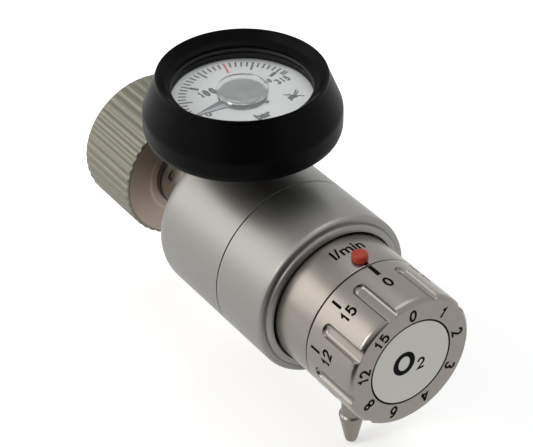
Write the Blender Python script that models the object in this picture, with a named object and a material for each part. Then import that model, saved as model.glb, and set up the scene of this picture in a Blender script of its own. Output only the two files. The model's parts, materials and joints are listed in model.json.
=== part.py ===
# Oxygen regulator with hand nut, piston pressure reducer, contents gauge and nine-step flow selector.
# Metres, +Z up. The main axis runs along Y through the origin, with the flow knob towards -Y. The origin
# is the centre of the hand nut's rear face. The gauge stands upright on the main axis.

import math

import bmesh
import bpy
from mathutils import Matrix, Vector

# Gaps between pieces, and how far a cutter runs past the face that it cuts
GAP = 0.0003
RUNNING_GAP = 0.0002
OVERCUT = 0.0010

# Hand nut
NUT_LENGTH = 0.0292
NUT_RADIUS = 0.0249
NUT_EDGE = 0.0010
NUT_MOUTH_BEVEL = 0.0005
FLUTE_COUNT = 45
FLUTE_DEPTH = 0.0007
FLUTE_SHARE = 0.56
NUT_THREAD_RADIUS = 0.01206
NUT_THREAD_DEPTH = 0.0172
NUT_BOSS_WIDTH = 0.0028
NUT_BOSS_HEIGHT = 0.0006

# Inlet stem, its seal and filter
NECK_WALL = 0.0036
STEM_FLANGE_CLEARANCE = 0.00056
STEM_FLANGE_LENGTH = 0.0030
STEM_NOSE_STEP = 0.0036
STEM_NOSE_LENGTH = 0.0085
STEM_NOSE_BEVEL = 0.0010
STEM_SCREWED_LENGTH = 0.0125
INLET_BORE_RADIUS = 0.0022
FILTER_RADIUS = 0.0032
FILTER_LENGTH = 0.0067
FILTER_SETBACK = 0.0035
INLET_RING_WIRE = 0.00095
INLET_RING_SETBACK = 0.0018
NECK_WASHER_LENGTH = 0.0006
NECK_WASHER_PROUD = 0.0004

# Regulator core
NECK_RADIUS = 0.0120
NECK_LENGTH = 0.0228
NECK_BEVEL = 0.0006
CORE_CLEARANCE = 0.0055
CORE_LENGTH = 0.0437
CORE_WALL = 0.0065
SPRING_POCKET_DEPTH = 0.0260
SLEEVE_RADIUS = 0.0065
SLEEVE_LENGTH = 0.0070
SLEEVE_LIP = 0.0011
NOZZLE_SETBACK = 0.0027
NOZZLE_HEIGHT = 0.0008
NOZZLE_BORE_RADIUS = 0.0007
NOZZLE_LAND = 0.0004
NOZZLE_FOOT = 0.0011
NOZZLE_BORE_LENGTH = 0.0023
NECK_SLOT_SETBACK = 0.0045
NECK_SLOT_LENGTH = 0.0028
NECK_SLOT_WIDTH = 0.0032
NECK_SLOT_DEPTH = 0.0012
NECK_SLOT_ANGLE = 150

# Housing sleeves
HOUSING_RADIUS = 0.0290
HOUSING_WALL = 0.0025
HOUSING_REAR_WALL = 0.0030
HOUSING_REAR_ROUND = 0.0050
REAR_HOUSING_LENGTH = 0.0371
FRONT_HOUSING_LENGTH = 0.0247
HOUSING_LAP = 0.0024
HOUSING_LAP_WALL = 0.0012
HOUSING_FRONT_ROUND = 0.0024
HOUSING_FRONT_WALL = 0.0028
FRONT_GROOVE_DEPTH = 0.0010
FRONT_GROOVE_BEVEL = 0.0006
FRONT_RIM_WIDTH = 0.0012
FRONT_RIM_HEIGHT = 0.0004

# Piston and main spring
PISTON_STEM_RADIUS = 0.0032
PISTON_HEAD_SETBACK = 0.0050
PISTON_HEAD_LENGTH = 0.0050
PISTON_TRAVEL = 0.0010
PISTON_BORE_RADIUS = 0.0009
PISTON_CROSS_RADIUS = 0.00055
PISTON_BORE_SETBACK = 0.0011
PISTON_CROSS_SETBACK = 0.0008
OUTLET_SPACE = 0.0030
SEAT_RADIUS = 0.0022
SEAT_LENGTH = 0.0021
PISTON_RING_WIRE = 0.00095
STEM_RING_WIRE = 0.0006
MAIN_SPRING_WIRE = 0.0012
MAIN_SPRING_TURNS = 3.5

# Relief valve, under the core
RELIEF_BORE_RADIUS = 0.0035
RELIEF_PORT_LENGTH = 0.0015
RELIEF_PORT_RADIUS = 0.0012
RELIEF_DISC_LENGTH = 0.0009
RELIEF_STEM_RADIUS = 0.0008
RELIEF_STEM_LENGTH = 0.0020
RELIEF_TRAVEL = 0.0008
RELIEF_CAP_PROUD = 0.0025
RELIEF_CAP_WALL = 0.0008
RELIEF_CAP_FLOOR = 0.0010
RELIEF_SPRING_RADIUS = 0.0017
RELIEF_SPRING_WIRE = 0.00025

# Flow body with the fixed indicator ring
KNOB_STEP = 0.0055
RING_LENGTH = 0.0167
FLOW_EDGE = 0.0004
CHAMBER_DEPTH = 0.0135
CHAMBER_WALL = 0.0075
TAIL_BORE_DEPTH = 0.0035
COVER_LENGTH = 0.0034
COVER_LEDGE = 0.0010
PLUG_RING_WIRE = 0.00095
PLUG_RING_SETBACK = 0.0020

# Orifice disc and knob spindle
ORIFICE_DISC_CLEARANCE = 0.0030
ORIFICE_DISC_LENGTH = 0.0017
ORIFICE_MARGIN = 0.0040
ORIFICE_SMALLEST = 0.00025
ORIFICE_STEP = 0.00008
FEED_RADIUS = 0.0011
FEED_SEAL_WIRE = 0.0005
FEED_SEAL_POCKET = 0.0013
SPINDLE_RADIUS = 0.0040
SPINDLE_SETBACK = 0.0086
SPINDLE_TAIL_RADIUS = 0.0020
SPINDLE_TAIL_LENGTH = 0.0032
SPINDLE_WAIST_STEP = 0.0010
SPINDLE_FLANGE_RADIUS = 0.0055
SPINDLE_FLANGE_LENGTH = 0.0017
SPINDLE_RING_WIRE = 0.0005

# Flow knob
STEPS = 9
KNOB_LENGTH = 0.0228
KNOB_BEVEL_LENGTH = 0.0026
KNOB_BEVEL_DEPTH = 0.0012
KNOB_HUB_RADIUS = 0.0075
KNOB_HUB_SETBACK = 0.0022
KNOB_RECESS_DEPTH = 0.0077
KNOB_RIM_WALL = 0.0075
SLOT_SETBACK = 0.0049
SLOT_WIDTH = 0.0047
SLOT_DEPTH = 0.0012
LABEL_BORDER = 0.00855
LABEL_LENGTH = 0.0007
LABEL_SETBACK = 0.0001
SCREW_HEAD_RADIUS = 0.0040
SCREW_HEAD_LENGTH = 0.0032
SCREW_HEAD_SETBACK = 0.0005
SCREW_RADIUS = 0.0016
SCREW_LENGTH = 0.0120
SCREW_TIP_SPACE = 0.0010
SCREW_SOCKET_RADIUS = 0.0014
SCREW_SOCKET_DEPTH = 0.0018

# Detent, stop pin and indicator pin
DETENT_MARGIN = 0.0044
DETENT_ANGLE = 35
DETENT_BALL_RADIUS = 0.0013
DETENT_BALL_PROUD = 0.0001
DETENT_DEPTH = 0.00045
DETENT_SPRING_LENGTH = 0.0045
DETENT_SPRING_WIRE = 0.0002
DETENT_SPRING_SHARE = 0.75
DETENT_SPRING_REST = 0.62
STOP_MARGIN = 0.0019
STOP_ANGLE = -50
STOP_PIN_RADIUS = 0.00075
STOP_PIN_REACH = 0.0015
STOP_PIN_LENGTH = 0.0055
PIN_SETBACK = 0.0037
PIN_HEAD_RADIUS = 0.00265
PIN_HEAD_HEIGHT = 0.0023
PIN_CROWN_ROUND = 0.0008
PIN_STEM_RADIUS = 0.0012
PIN_STEM_LENGTH = 0.0034

# Hose barb
BARB_SETBACK = 0.0061
BARB_SEAT_DEPTH = 0.0015
BARB_THREAD_SETBACK = 0.0010
BARB_ROOT_RADIUS = 0.0036
BARB_FLATS = 0.0096
BARB_SEAT_MARGIN = 0.0010
BARB_HEX_LENGTH = 0.0046
BARB_NECK_RADIUS = 0.0035
BARB_NECK_LENGTH = 0.0108
BARB_FLARE_LENGTH = 0.0028
BARB_RIDGE_RADIUS = 0.0041
BARB_RIDGE_LENGTH = 0.0025
BARB_TAPER_LENGTH = 0.0101
BARB_TIP_RADIUS = 0.0023
BARB_TIP_BEVEL = 0.0003
BARB_BORE_RADIUS = 0.00125
BARB_WASHER_LENGTH = 0.0008

# Gauge
GAUGE_SETBACK = 0.0116
GAUGE_BOSS_PROUD = 0.0006
GAUGE_BOSS_RADIUS = 0.0078
GAUGE_BOSS_ROOT = 0.0053
GAUGE_THREAD_RADIUS = 0.0045
GAUGE_THREAD_LENGTH = 0.0180
GAUGE_WASHER_LENGTH = 0.0012
GAUGE_WASHER_MARGIN = 0.0006
GAUGE_FLATS = 0.0140
GAUGE_HEX_LENGTH = 0.0066
GAUGE_SHOULDER = 0.0006
GAUGE_SHOULDER_RADIUS = 0.0060
GAUGE_FLANGE_RADIUS = 0.0090
GAUGE_FLANGE_LENGTH = 0.0015
GAUGE_NECK_RADIUS = 0.0050
GAUGE_BORE_RADIUS = 0.0010
SOCKET_TIP_WALL = 0.0008
CASE_RADIUS = 0.0246
CASE_HEIGHT = 0.0112
CASE_EDGE = 0.0010
CASE_WALL = 0.0010
CASE_FLOOR = 0.0016
CASE_LEDGE = 0.0016
DIAL_DEPTH = 0.0013
DIAL_LENGTH = 0.0005
WINDOW_LENGTH = 0.0010
WINDOW_BOSS_SHARE = 0.346
WINDOW_BOSS_HEIGHT = 0.0010
BEZEL_WALL = 0.0005
BEZEL_WIDTH = 0.0025
BEZEL_LIP = 0.0010
BEZEL_SKIRT = 0.0040
BEZEL_EDGE = 0.0004

# Gauge boot
BOOT_WALL = 0.0071
BOOT_FLOOR = 0.0016
BOOT_BAND_HEIGHT = 0.0081
BOOT_LIP = 0.0050
BOOT_TAPER = 0.0044
BOOT_SIGHT_STEP = 0.0001
BOOT_RIM = 0.0024
BOOT_EDGE = 0.0006
BOOT_CORNER = 0.0016

# Gauge movement: the tube's section, and the gears in steps of their module, which follows the case
TUBE_CLEARANCE = 0.0036
TUBE_THICKNESS = 0.0018
TUBE_HEIGHT = 0.0046
TUBE_WALL = 0.0004
TUBE_ROOT_ANGLE = 195
TUBE_TIP_ANGLE = -75
SOCKET_TOP_HEIGHT = 0.0016
ROOT_ARM_WIDTH = 0.0040
ROOT_ARM_RISE = 0.0003
ROOT_ARM_END = 0.0006
ROOT_BLOCK_MARGIN = 0.0002
ROOT_BLOCK_LENGTH = 0.0034
CASE_IN_MODULES = 49.2
PINION_TEETH = 10
SECTOR_TEETH = 50
SECTOR_FIRST_TOOTH = -6
SECTOR_LAST_TOOTH = 1
PRESSURE_ANGLE = 25
TOOTH_PLAY = 0.24
TOOTH_ABOVE = 0.7
TOOTH_BELOW = 1.1
SECTOR_ANGLE = 240
GEAR_PLAY = 0.2
ARBOR_RADIUS = 1.2
SECTOR_HUB = 3.2
SECTOR_TAIL = 8.4
SECTOR_TAIL_END = 2.2
LINK_HALF_WIDTH = 1.8
NEAR_PILLAR = 11.0
FAR_PILLAR = 8.4
PLATE_GRIP = 4.0
PILLAR_RADIUS = 1.8
PLATE_LENGTH = 0.0009
PLATE_SPACING = 0.0032
SECTOR_LENGTH = 0.0009
PINION_LENGTH = 0.0019
LINK_LENGTH = 0.0006
ARBOR_RISE = 0.0008
POINTER_REACH_SHARE = 0.744
POINTER_HUB_SHARE = 0.333
POINTER_ANGLE = 184
POINTER_LENGTH = 0.0004
POINTER_RISE = 0.0006
POINTER_ROOT = 0.0016
POINTER_NOTCH = 0.0012
POINTER_CAP_RADIUS = 0.0022
POINTER_CAP_BEVEL = 0.0003
POINTER_CAP_SINK = 0.0001
DIAL_HOLE_MARGIN = 0.0009

# Fineness of the turned pieces
COARSE = 10
MEDIUM = 16
FINE = 22
VISIBLE = 36

# Places along the main axis, counted from the nut's rear face to the front
nut_front = NUT_LENGTH - NUT_BOSS_HEIGHT
stem_flange_end = NUT_THREAD_DEPTH - RUNNING_GAP
stem_flange_start = stem_flange_end - STEM_FLANGE_LENGTH
stem_nose = stem_flange_start - STEM_NOSE_LENGTH
washer_start = NUT_LENGTH + RUNNING_GAP
neck_start = washer_start + NECK_WASHER_LENGTH + RUNNING_GAP
stem_end = neck_start + STEM_SCREWED_LENGTH - GAP
housing_start = neck_start + NECK_LENGTH
housing_seam = housing_start + REAR_HOUSING_LENGTH
housing_front = housing_seam + FRONT_HOUSING_LENGTH
core_shoulder = housing_start + HOUSING_REAR_WALL + GAP
core_end = core_shoulder + CORE_LENGTH - GAP
spring_pocket_start = core_end - SPRING_POCKET_DEPTH
sleeve_end = spring_pocket_start + SLEEVE_LENGTH
nozzle_tip = spring_pocket_start - NOZZLE_SETBACK
seat_chamber_start = nozzle_tip - NOZZLE_HEIGHT
seat_face = nozzle_tip + PISTON_TRAVEL + GAP
piston_head_start = sleeve_end + PISTON_HEAD_SETBACK
piston_head_end = piston_head_start + PISTON_HEAD_LENGTH
flow_plug_start = piston_head_end + OUTLET_SPACE
relief_place = piston_head_end + OUTLET_SPACE / 2
flow_collar_start = core_end + GAP
flow_collar_end = housing_front - HOUSING_FRONT_WALL - GAP
flow_end = housing_front + RING_LENGTH
chamber_start = flow_end - CHAMBER_DEPTH
cover_end = flow_end - GAP
cover_start = cover_end - COVER_LENGTH
knob_start = flow_end + GAP
knob_end = knob_start + KNOB_LENGTH
spindle_end = knob_end - SPINDLE_SETBACK
gauge_place = housing_start + GAUGE_SETBACK
barb_place = flow_end - BARB_SETBACK
pin_place = flow_end - PIN_SETBACK

# Radii from the main axis
stem_radius = NECK_RADIUS - NECK_WALL
stem_flange_radius = NUT_THREAD_RADIUS - STEM_FLANGE_CLEARANCE
stem_nose_radius = stem_flange_radius - STEM_NOSE_STEP
housing_inner = HOUSING_RADIUS - HOUSING_WALL
core_radius = housing_inner - CORE_CLEARANCE
piston_bore_radius = core_radius - CORE_WALL
main_spring_radius = (SLEEVE_RADIUS + piston_bore_radius) / 2
relief_bore_floor = piston_bore_radius + RELIEF_PORT_LENGTH
relief_cap_end = core_radius + RELIEF_CAP_PROUD
flow_radius = HOUSING_RADIUS - KNOB_STEP
chamber_radius = flow_radius - CHAMBER_WALL
cover_radius = chamber_radius + COVER_LEDGE - GAP
orifice_disc_radius = chamber_radius - ORIFICE_DISC_CLEARANCE
orifice_circle = orifice_disc_radius - ORIFICE_MARGIN
label_radius = flow_radius - LABEL_BORDER
detent_circle = flow_radius - DETENT_MARGIN
stop_circle = flow_radius - STOP_MARGIN
step_angle = 360 / STEPS
slot_cutter_radius = ((SLOT_WIDTH / 2) ** 2 + SLOT_DEPTH ** 2) / (2 * SLOT_DEPTH)

# Places of the label disc and the screw inside the knob
label_floor = knob_end - LABEL_SETBACK - LABEL_LENGTH - GAP
head_floor = label_floor - SCREW_HEAD_SETBACK - SCREW_HEAD_LENGTH - GAP
screw_tip = head_floor + GAP - SCREW_LENGTH

# Places down the barb, from the main axis
barb_seat = flow_radius - BARB_SEAT_DEPTH
barb_thread_start = chamber_radius + BARB_THREAD_SETBACK
barb_hex_low = barb_seat + 2 * GAP + BARB_WASHER_LENGTH
barb_hex_high = barb_hex_low + BARB_HEX_LENGTH
barb_neck_end = barb_hex_high + BARB_NECK_LENGTH
barb_ridge = barb_neck_end + BARB_FLARE_LENGTH
barb_end = barb_ridge + BARB_RIDGE_LENGTH + BARB_TAPER_LENGTH

# Heights and radii of the gauge, from the main axis
gauge_boss_top = HOUSING_RADIUS + GAUGE_BOSS_PROUD
gauge_washer_low = gauge_boss_top + GAP
gauge_hex_low = gauge_washer_low + GAUGE_WASHER_LENGTH + GAP
gauge_thread_bottom = gauge_boss_top - GAUGE_THREAD_LENGTH
gauge_hex_top = gauge_hex_low + GAUGE_HEX_LENGTH
case_bottom = gauge_hex_top + GAUGE_SHOULDER + GAUGE_FLANGE_LENGTH + GAP
case_top = case_bottom + CASE_HEIGHT
case_inner = CASE_RADIUS - CASE_WALL
ledge_radius = case_inner - CASE_LEDGE
dial_top = case_top - DIAL_DEPTH
window_low = case_top + GAP
bezel_top = window_low + WINDOW_LENGTH + GAP + BEZEL_LIP
bezel_radius = CASE_RADIUS + GAP + BEZEL_WALL
bezel_sight_radius = bezel_radius - BEZEL_WIDTH
boot_floor = case_bottom - GAP
boot_bottom = boot_floor - BOOT_FLOOR
boot_band_top = boot_bottom + BOOT_BAND_HEIGHT
boot_top = bezel_top + BOOT_LIP
boot_radius = bezel_radius + GAP + BOOT_WALL
boot_top_radius = boot_radius - BOOT_TAPER
boot_sight_radius = bezel_sight_radius + BOOT_SIGHT_STEP

# Movement
module = CASE_RADIUS / CASE_IN_MODULES
movement_floor = case_bottom + CASE_FLOOR
socket_top = movement_floor + SOCKET_TOP_HEIGHT
lower_plate = socket_top + GAP
upper_plate = lower_plate + PLATE_LENGTH + PLATE_SPACING
sector_level = (lower_plate + PLATE_LENGTH + upper_plate - SECTOR_LENGTH) / 2
arbor_radius = ARBOR_RADIUS * module
arbor_low = lower_plate + RUNNING_GAP
spindle_top = dial_top + ARBOR_RISE
centre_distance = (PINION_TEETH + SECTOR_TEETH + GEAR_PLAY) * module / 2
sector_tail = SECTOR_TAIL * module
tube_circle = ledge_radius - TUBE_CLEARANCE
tube_bottom = movement_floor + 2 * GAP
link_level = tube_bottom + TUBE_HEIGHT + GAP
pointer_reach = POINTER_REACH_SHARE * CASE_RADIUS
pointer_hub_radius = POINTER_HUB_SHARE * CASE_RADIUS


def clear_scene():
    for item in list(bpy.data.objects):
        bpy.data.objects.remove(item, do_unlink=True)


def finish(name, colour, roughness, metallic, alpha=1.0):
    material = bpy.data.materials.new(name)
    material.use_nodes = True
    shader = material.node_tree.nodes["Principled BSDF"]
    shader.inputs["Base Color"].default_value = (*colour, 1.0)
    shader.inputs["Roughness"].default_value = roughness
    shader.inputs["Metallic"].default_value = metallic
    shader.inputs["Alpha"].default_value = alpha
    return material


def axis_frame(name, location, rotation):
    empty = bpy.data.objects.new(name, None)
    empty.location = location
    empty.rotation_euler = rotation
    bpy.context.scene.collection.objects.link(empty)
    return empty


# The given bmesh becomes an object in the frame of the parent, with its origin at the given place.
def place(name, shape, parent, material, origin=(0, 0, 0)):
    bmesh.ops.recalc_face_normals(shape, faces=shape.faces)
    mesh = bpy.data.meshes.new(name)
    shape.to_mesh(mesh)
    shape.free()
    mesh.shade_smooth()
    mesh.set_sharp_from_angle(angle=math.radians(30))
    item = bpy.data.objects.new(name, mesh)
    item.parent = parent
    item.location = origin
    if material:
        mesh.materials.append(material)
    bpy.context.scene.collection.objects.link(item)
    return item


# Points of a circular arc in an outline, as pairs of place along the axis and radius.
def arc(along, radius, size, start, end, steps):
    turns = [math.radians(start + (end - start) * k / steps) for k in range(steps + 1)]
    return [(along + size * math.cos(t), radius + size * math.sin(t)) for t in turns]


# A solid of revolution about local Z. An outline that touches the axis is open, any other is closed.
def turned_shape(outline, segments):
    shape = bmesh.new()
    points = [shape.verts.new((radius, 0, along)) for along, radius in outline]
    lines = [shape.edges.new(pair) for pair in zip(points, points[1:])]
    if min(radius for _, radius in outline) > 0:
        lines.append(shape.edges.new((points[-1], points[0])))
    bmesh.ops.spin(shape, geom=points + lines, cent=(0, 0, 0), axis=(0, 0, 1),
                   angle=math.tau, steps=segments, use_merge=True)
    bmesh.ops.remove_doubles(shape, verts=shape.verts, dist=1e-7)
    bmesh.ops.recalc_face_normals(shape, faces=shape.faces)
    return shape


def turned(name, parent, outline, material, segments=FINE, origin=(0, 0, 0), turn=0.0):
    local = [(along - origin[2], radius) for along, radius in outline]
    shape = turned_shape(local, segments)
    bmesh.ops.rotate(shape, verts=shape.verts, matrix=Matrix.Rotation(turn, 3, "Z"))
    return place(name, shape, parent, material, origin)


# A solid through rings of points, closed by a flat face at each end, alone or added to another shape.
def lofted_shape(rings, shape=None):
    shape = shape or bmesh.new()
    loops = [[shape.verts.new(point) for point in ring] for ring in rings]
    count = len(loops[0])
    for low, high in zip(loops, loops[1:]):
        for k in range(count):
            shape.faces.new((low[k], low[(k + 1) % count], high[(k + 1) % count], high[k]))
    shape.faces.new(loops[0])
    shape.faces.new(loops[-1])
    bmesh.ops.recalc_face_normals(shape, faces=shape.faces)
    return shape


def prism_shape(outline, low, high, shape=None):
    return lofted_shape([[(x, y, level) for x, y in outline] for level in (low, high)], shape)


def circle(radius, segments, centre=(0, 0), turn=0.0):
    angles = [turn + math.tau * k / segments for k in range(segments)]
    return [(centre[0] + radius * math.cos(a), centre[1] + radius * math.sin(a)) for a in angles]


def polar(radius, degrees):
    return (radius * math.cos(math.radians(degrees)), radius * math.sin(math.radians(degrees)))


# A flat plate around several round ends, from the convex hull of their outlines.
def hull_shape(ends, low, high, segments=COARSE):
    shape = bmesh.new()
    for centre, radius in ends:
        for x, y in circle(radius, segments, centre):
            shape.verts.new((x, y, low))
            shape.verts.new((x, y, high))
    bmesh.ops.convex_hull(shape, input=shape.verts)
    loose = [vert for vert in shape.verts if not vert.link_faces]
    bmesh.ops.delete(shape, geom=loose, context="VERTS")
    bmesh.ops.dissolve_limit(shape, angle_limit=math.radians(1), verts=shape.verts, edges=shape.edges)
    return shape


# A round ring such as an O-ring, seen as the section circle that is turned about the axis.
def ring_outline(along, radius, wire, sides=5):
    return arc(along, radius, wire, 0, 360 * (sides - 1) / sides, sides - 1)


# A compression spring: the wire's section carried along a helix about local Z.
def coil(name, parent, radius, wire, start, end, turns, material, sides=5, steps=12):
    low = start + wire
    high = end - wire
    count = round(turns * steps)
    rings = []
    for k in range(count + 1):
        share = k / count
        angle = math.tau * turns * share
        centre = Vector((radius * math.cos(angle), radius * math.sin(angle), low + (high - low) * share))
        outward = Vector((math.cos(angle), math.sin(angle), 0))
        travel = Vector((-radius * math.sin(angle) * math.tau * turns,
                         radius * math.cos(angle) * math.tau * turns, high - low)).normalized()
        across = travel.cross(outward)
        rings.append([centre + wire * (math.cos(t) * outward + math.sin(t) * across)
                      for t in (math.tau * m / sides for m in range(sides))])
    return place(name, lofted_shape(rings), parent, material)


# Copies of one shape, moved by each matrix, in one mesh.
def repeated_shape(source, matrices):
    mesh = bpy.data.meshes.new("pattern")
    source.to_mesh(mesh)
    source.free()
    merged = bmesh.new()
    for matrix in matrices:
        first = len(merged.verts)
        merged.from_mesh(mesh)
        merged.verts.ensure_lookup_table()
        bmesh.ops.transform(merged, matrix=matrix, verts=merged.verts[first:])
    bpy.data.meshes.remove(mesh)
    return merged


def helper(item):
    item.hide_render = True
    item.display_type = "WIRE"
    return item


def combine(target, tool, operation):
    change = target.modifiers.new(tool.name, "BOOLEAN")
    change.operation = operation
    change.solver = "EXACT"
    change.object = helper(tool)


def cut(target, tool):
    combine(target, tool, "DIFFERENCE")


def join(target, tool):
    combine(target, tool, "UNION")


def drill(target, name, parent, low, high, radius, segments=COARSE, origin=(0, 0, 0)):
    outline = [(low, 0), (low, radius), (high, radius), (high, 0)]
    cut(target, turned(name, parent, outline, None, segments, origin))


clear_scene()

# Finishes
satin_nickel = finish("satin nickel", (0.42, 0.40, 0.37), 0.32, 1.0)
pearl_nickel = finish("pearl nickel", (0.45, 0.43, 0.40), 0.30, 1.0)
brass = finish("brass", (0.62, 0.47, 0.22), 0.35, 1.0)
spring_steel = finish("spring steel", (0.45, 0.45, 0.46), 0.30, 1.0)
sintered_bronze = finish("sintered bronze", (0.42, 0.30, 0.18), 0.75, 1.0)
seal_rubber = finish("seal rubber", (0.02, 0.02, 0.02), 0.6, 0.0)
seat_plastic = finish("seat plastic", (0.80, 0.78, 0.70), 0.5, 0.0)
boot_rubber = finish("boot rubber", (0.010, 0.011, 0.012), 0.45, 0.0)
case_black = finish("black case", (0.02, 0.02, 0.02), 0.4, 0.0)
dial_white = finish("dial white", (0.72, 0.72, 0.72), 0.6, 0.0)
pointer_grey = finish("pointer grey", (0.09, 0.09, 0.09), 0.5, 0.0)
clear_plastic = finish("clear plastic", (0.9, 0.9, 0.9), 0.08, 0.0, 0.3)
label_grey = finish("label grey", (0.38, 0.40, 0.38), 0.45, 0.3)
signal_red = finish("signal red", (0.38, 0.045, 0.025), 0.4, 0.0)

# Frames: local Z runs along the main axis to the front, up the gauge, down the barb and the relief valve
main_axis = axis_frame("main_axis", (0, 0, 0), (math.pi / 2, 0, 0))
gauge_axis = axis_frame("gauge_axis", (0, -gauge_place, 0), (0, 0, 0))
barb_axis = axis_frame("barb_axis", (0, -barb_place, 0), (math.pi, 0, 0))
relief_axis = axis_frame("relief_axis", (0, -relief_place, 0), (math.pi, 0, 0))
pin_axis = axis_frame("pin_axis", (0, -pin_place, 0), (0, 0, 0))


# The nut's grip is a ring of shallow scooped flutes that run out through both bevelled ends.
def flute_ring(level, radius):
    pitch = math.tau / FLUTE_COUNT
    scoop = pitch * FLUTE_SHARE / 2
    points = []
    for k in range(FLUTE_COUNT):
        middle = k * pitch
        floor = min(radius, NUT_RADIUS - FLUTE_DEPTH)
        for turn, reach in ((-scoop, radius), (0, floor), (scoop, radius)):
            points.append((reach * math.cos(middle + turn), reach * math.sin(middle + turn), level))
    return points


def make_hand_nut():
    grip = [flute_ring(0, NUT_RADIUS - NUT_EDGE), flute_ring(NUT_EDGE, NUT_RADIUS),
            flute_ring(nut_front - NUT_EDGE, NUT_RADIUS),
            flute_ring(nut_front, NUT_RADIUS - NUT_EDGE)]
    nut = place("hand_nut", lofted_shape(grip), main_axis, satin_nickel)
    front = nut_front
    boss_radius = NECK_RADIUS + NUT_BOSS_WIDTH
    boss = [(front - NUT_EDGE, 0), (front - NUT_EDGE, boss_radius + NUT_BOSS_HEIGHT),
            (front, boss_radius + NUT_BOSS_HEIGHT), (NUT_LENGTH, boss_radius), (NUT_LENGTH, 0)]
    join(nut, turned("nut_boss", main_axis, boss, None, FINE))
    bore = stem_radius + GAP
    inside = [(-NUT_EDGE, 0), (-NUT_EDGE, NUT_THREAD_RADIUS + NUT_EDGE + NUT_MOUTH_BEVEL),
              (NUT_MOUTH_BEVEL, NUT_THREAD_RADIUS), (NUT_THREAD_DEPTH, NUT_THREAD_RADIUS),
              (NUT_THREAD_DEPTH, bore), (NUT_LENGTH + NUT_EDGE, bore), (NUT_LENGTH + NUT_EDGE, 0)]
    cut(nut, turned("nut_bore", main_axis, inside, None, FINE))


def make_inlet():
    nose = stem_nose
    groove_low = nose + INLET_RING_SETBACK
    groove_high = groove_low + 2 * INLET_RING_WIRE + 2 * GAP
    ring_radius = stem_nose_radius + GAP - INLET_RING_WIRE
    groove_floor = ring_radius - INLET_RING_WIRE - GAP
    counterbore = FILTER_RADIUS + GAP
    counterbore_end = nose + FILTER_SETBACK + FILTER_LENGTH + GAP
    stem = [(nose, counterbore), (nose, stem_nose_radius - STEM_NOSE_BEVEL),
            (nose + STEM_NOSE_BEVEL, stem_nose_radius),
            (groove_low, stem_nose_radius), (groove_low, groove_floor), (groove_high, groove_floor),
            (groove_high, stem_nose_radius), (stem_flange_start, stem_nose_radius),
            (stem_flange_start, stem_flange_radius), (stem_flange_end, stem_flange_radius),
            (stem_flange_end, stem_radius), (stem_end, stem_radius), (stem_end, INLET_BORE_RADIUS),
            (counterbore_end, INLET_BORE_RADIUS), (counterbore_end, counterbore)]
    turned("inlet_stem", main_axis, stem, brass, MEDIUM)
    ring_place = (groove_low + groove_high) / 2
    turned("inlet_o_ring", main_axis, ring_outline(ring_place, ring_radius, INLET_RING_WIRE),
           seal_rubber, MEDIUM)
    filter_end = counterbore_end - GAP
    disc = [(filter_end - FILTER_LENGTH, 0), (filter_end - FILTER_LENGTH, FILTER_RADIUS),
            (filter_end, FILTER_RADIUS), (filter_end, 0)]
    turned("inlet_filter", main_axis, disc, sintered_bronze, COARSE)
    washer_end = washer_start + NECK_WASHER_LENGTH
    washer_radius = NECK_RADIUS + NECK_WASHER_PROUD
    washer = [(washer_start, stem_radius + GAP), (washer_start, washer_radius),
              (washer_end, washer_radius), (washer_end, stem_radius + GAP)]
    turned("neck_washer", main_axis, washer, seal_rubber, FINE)


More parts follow.
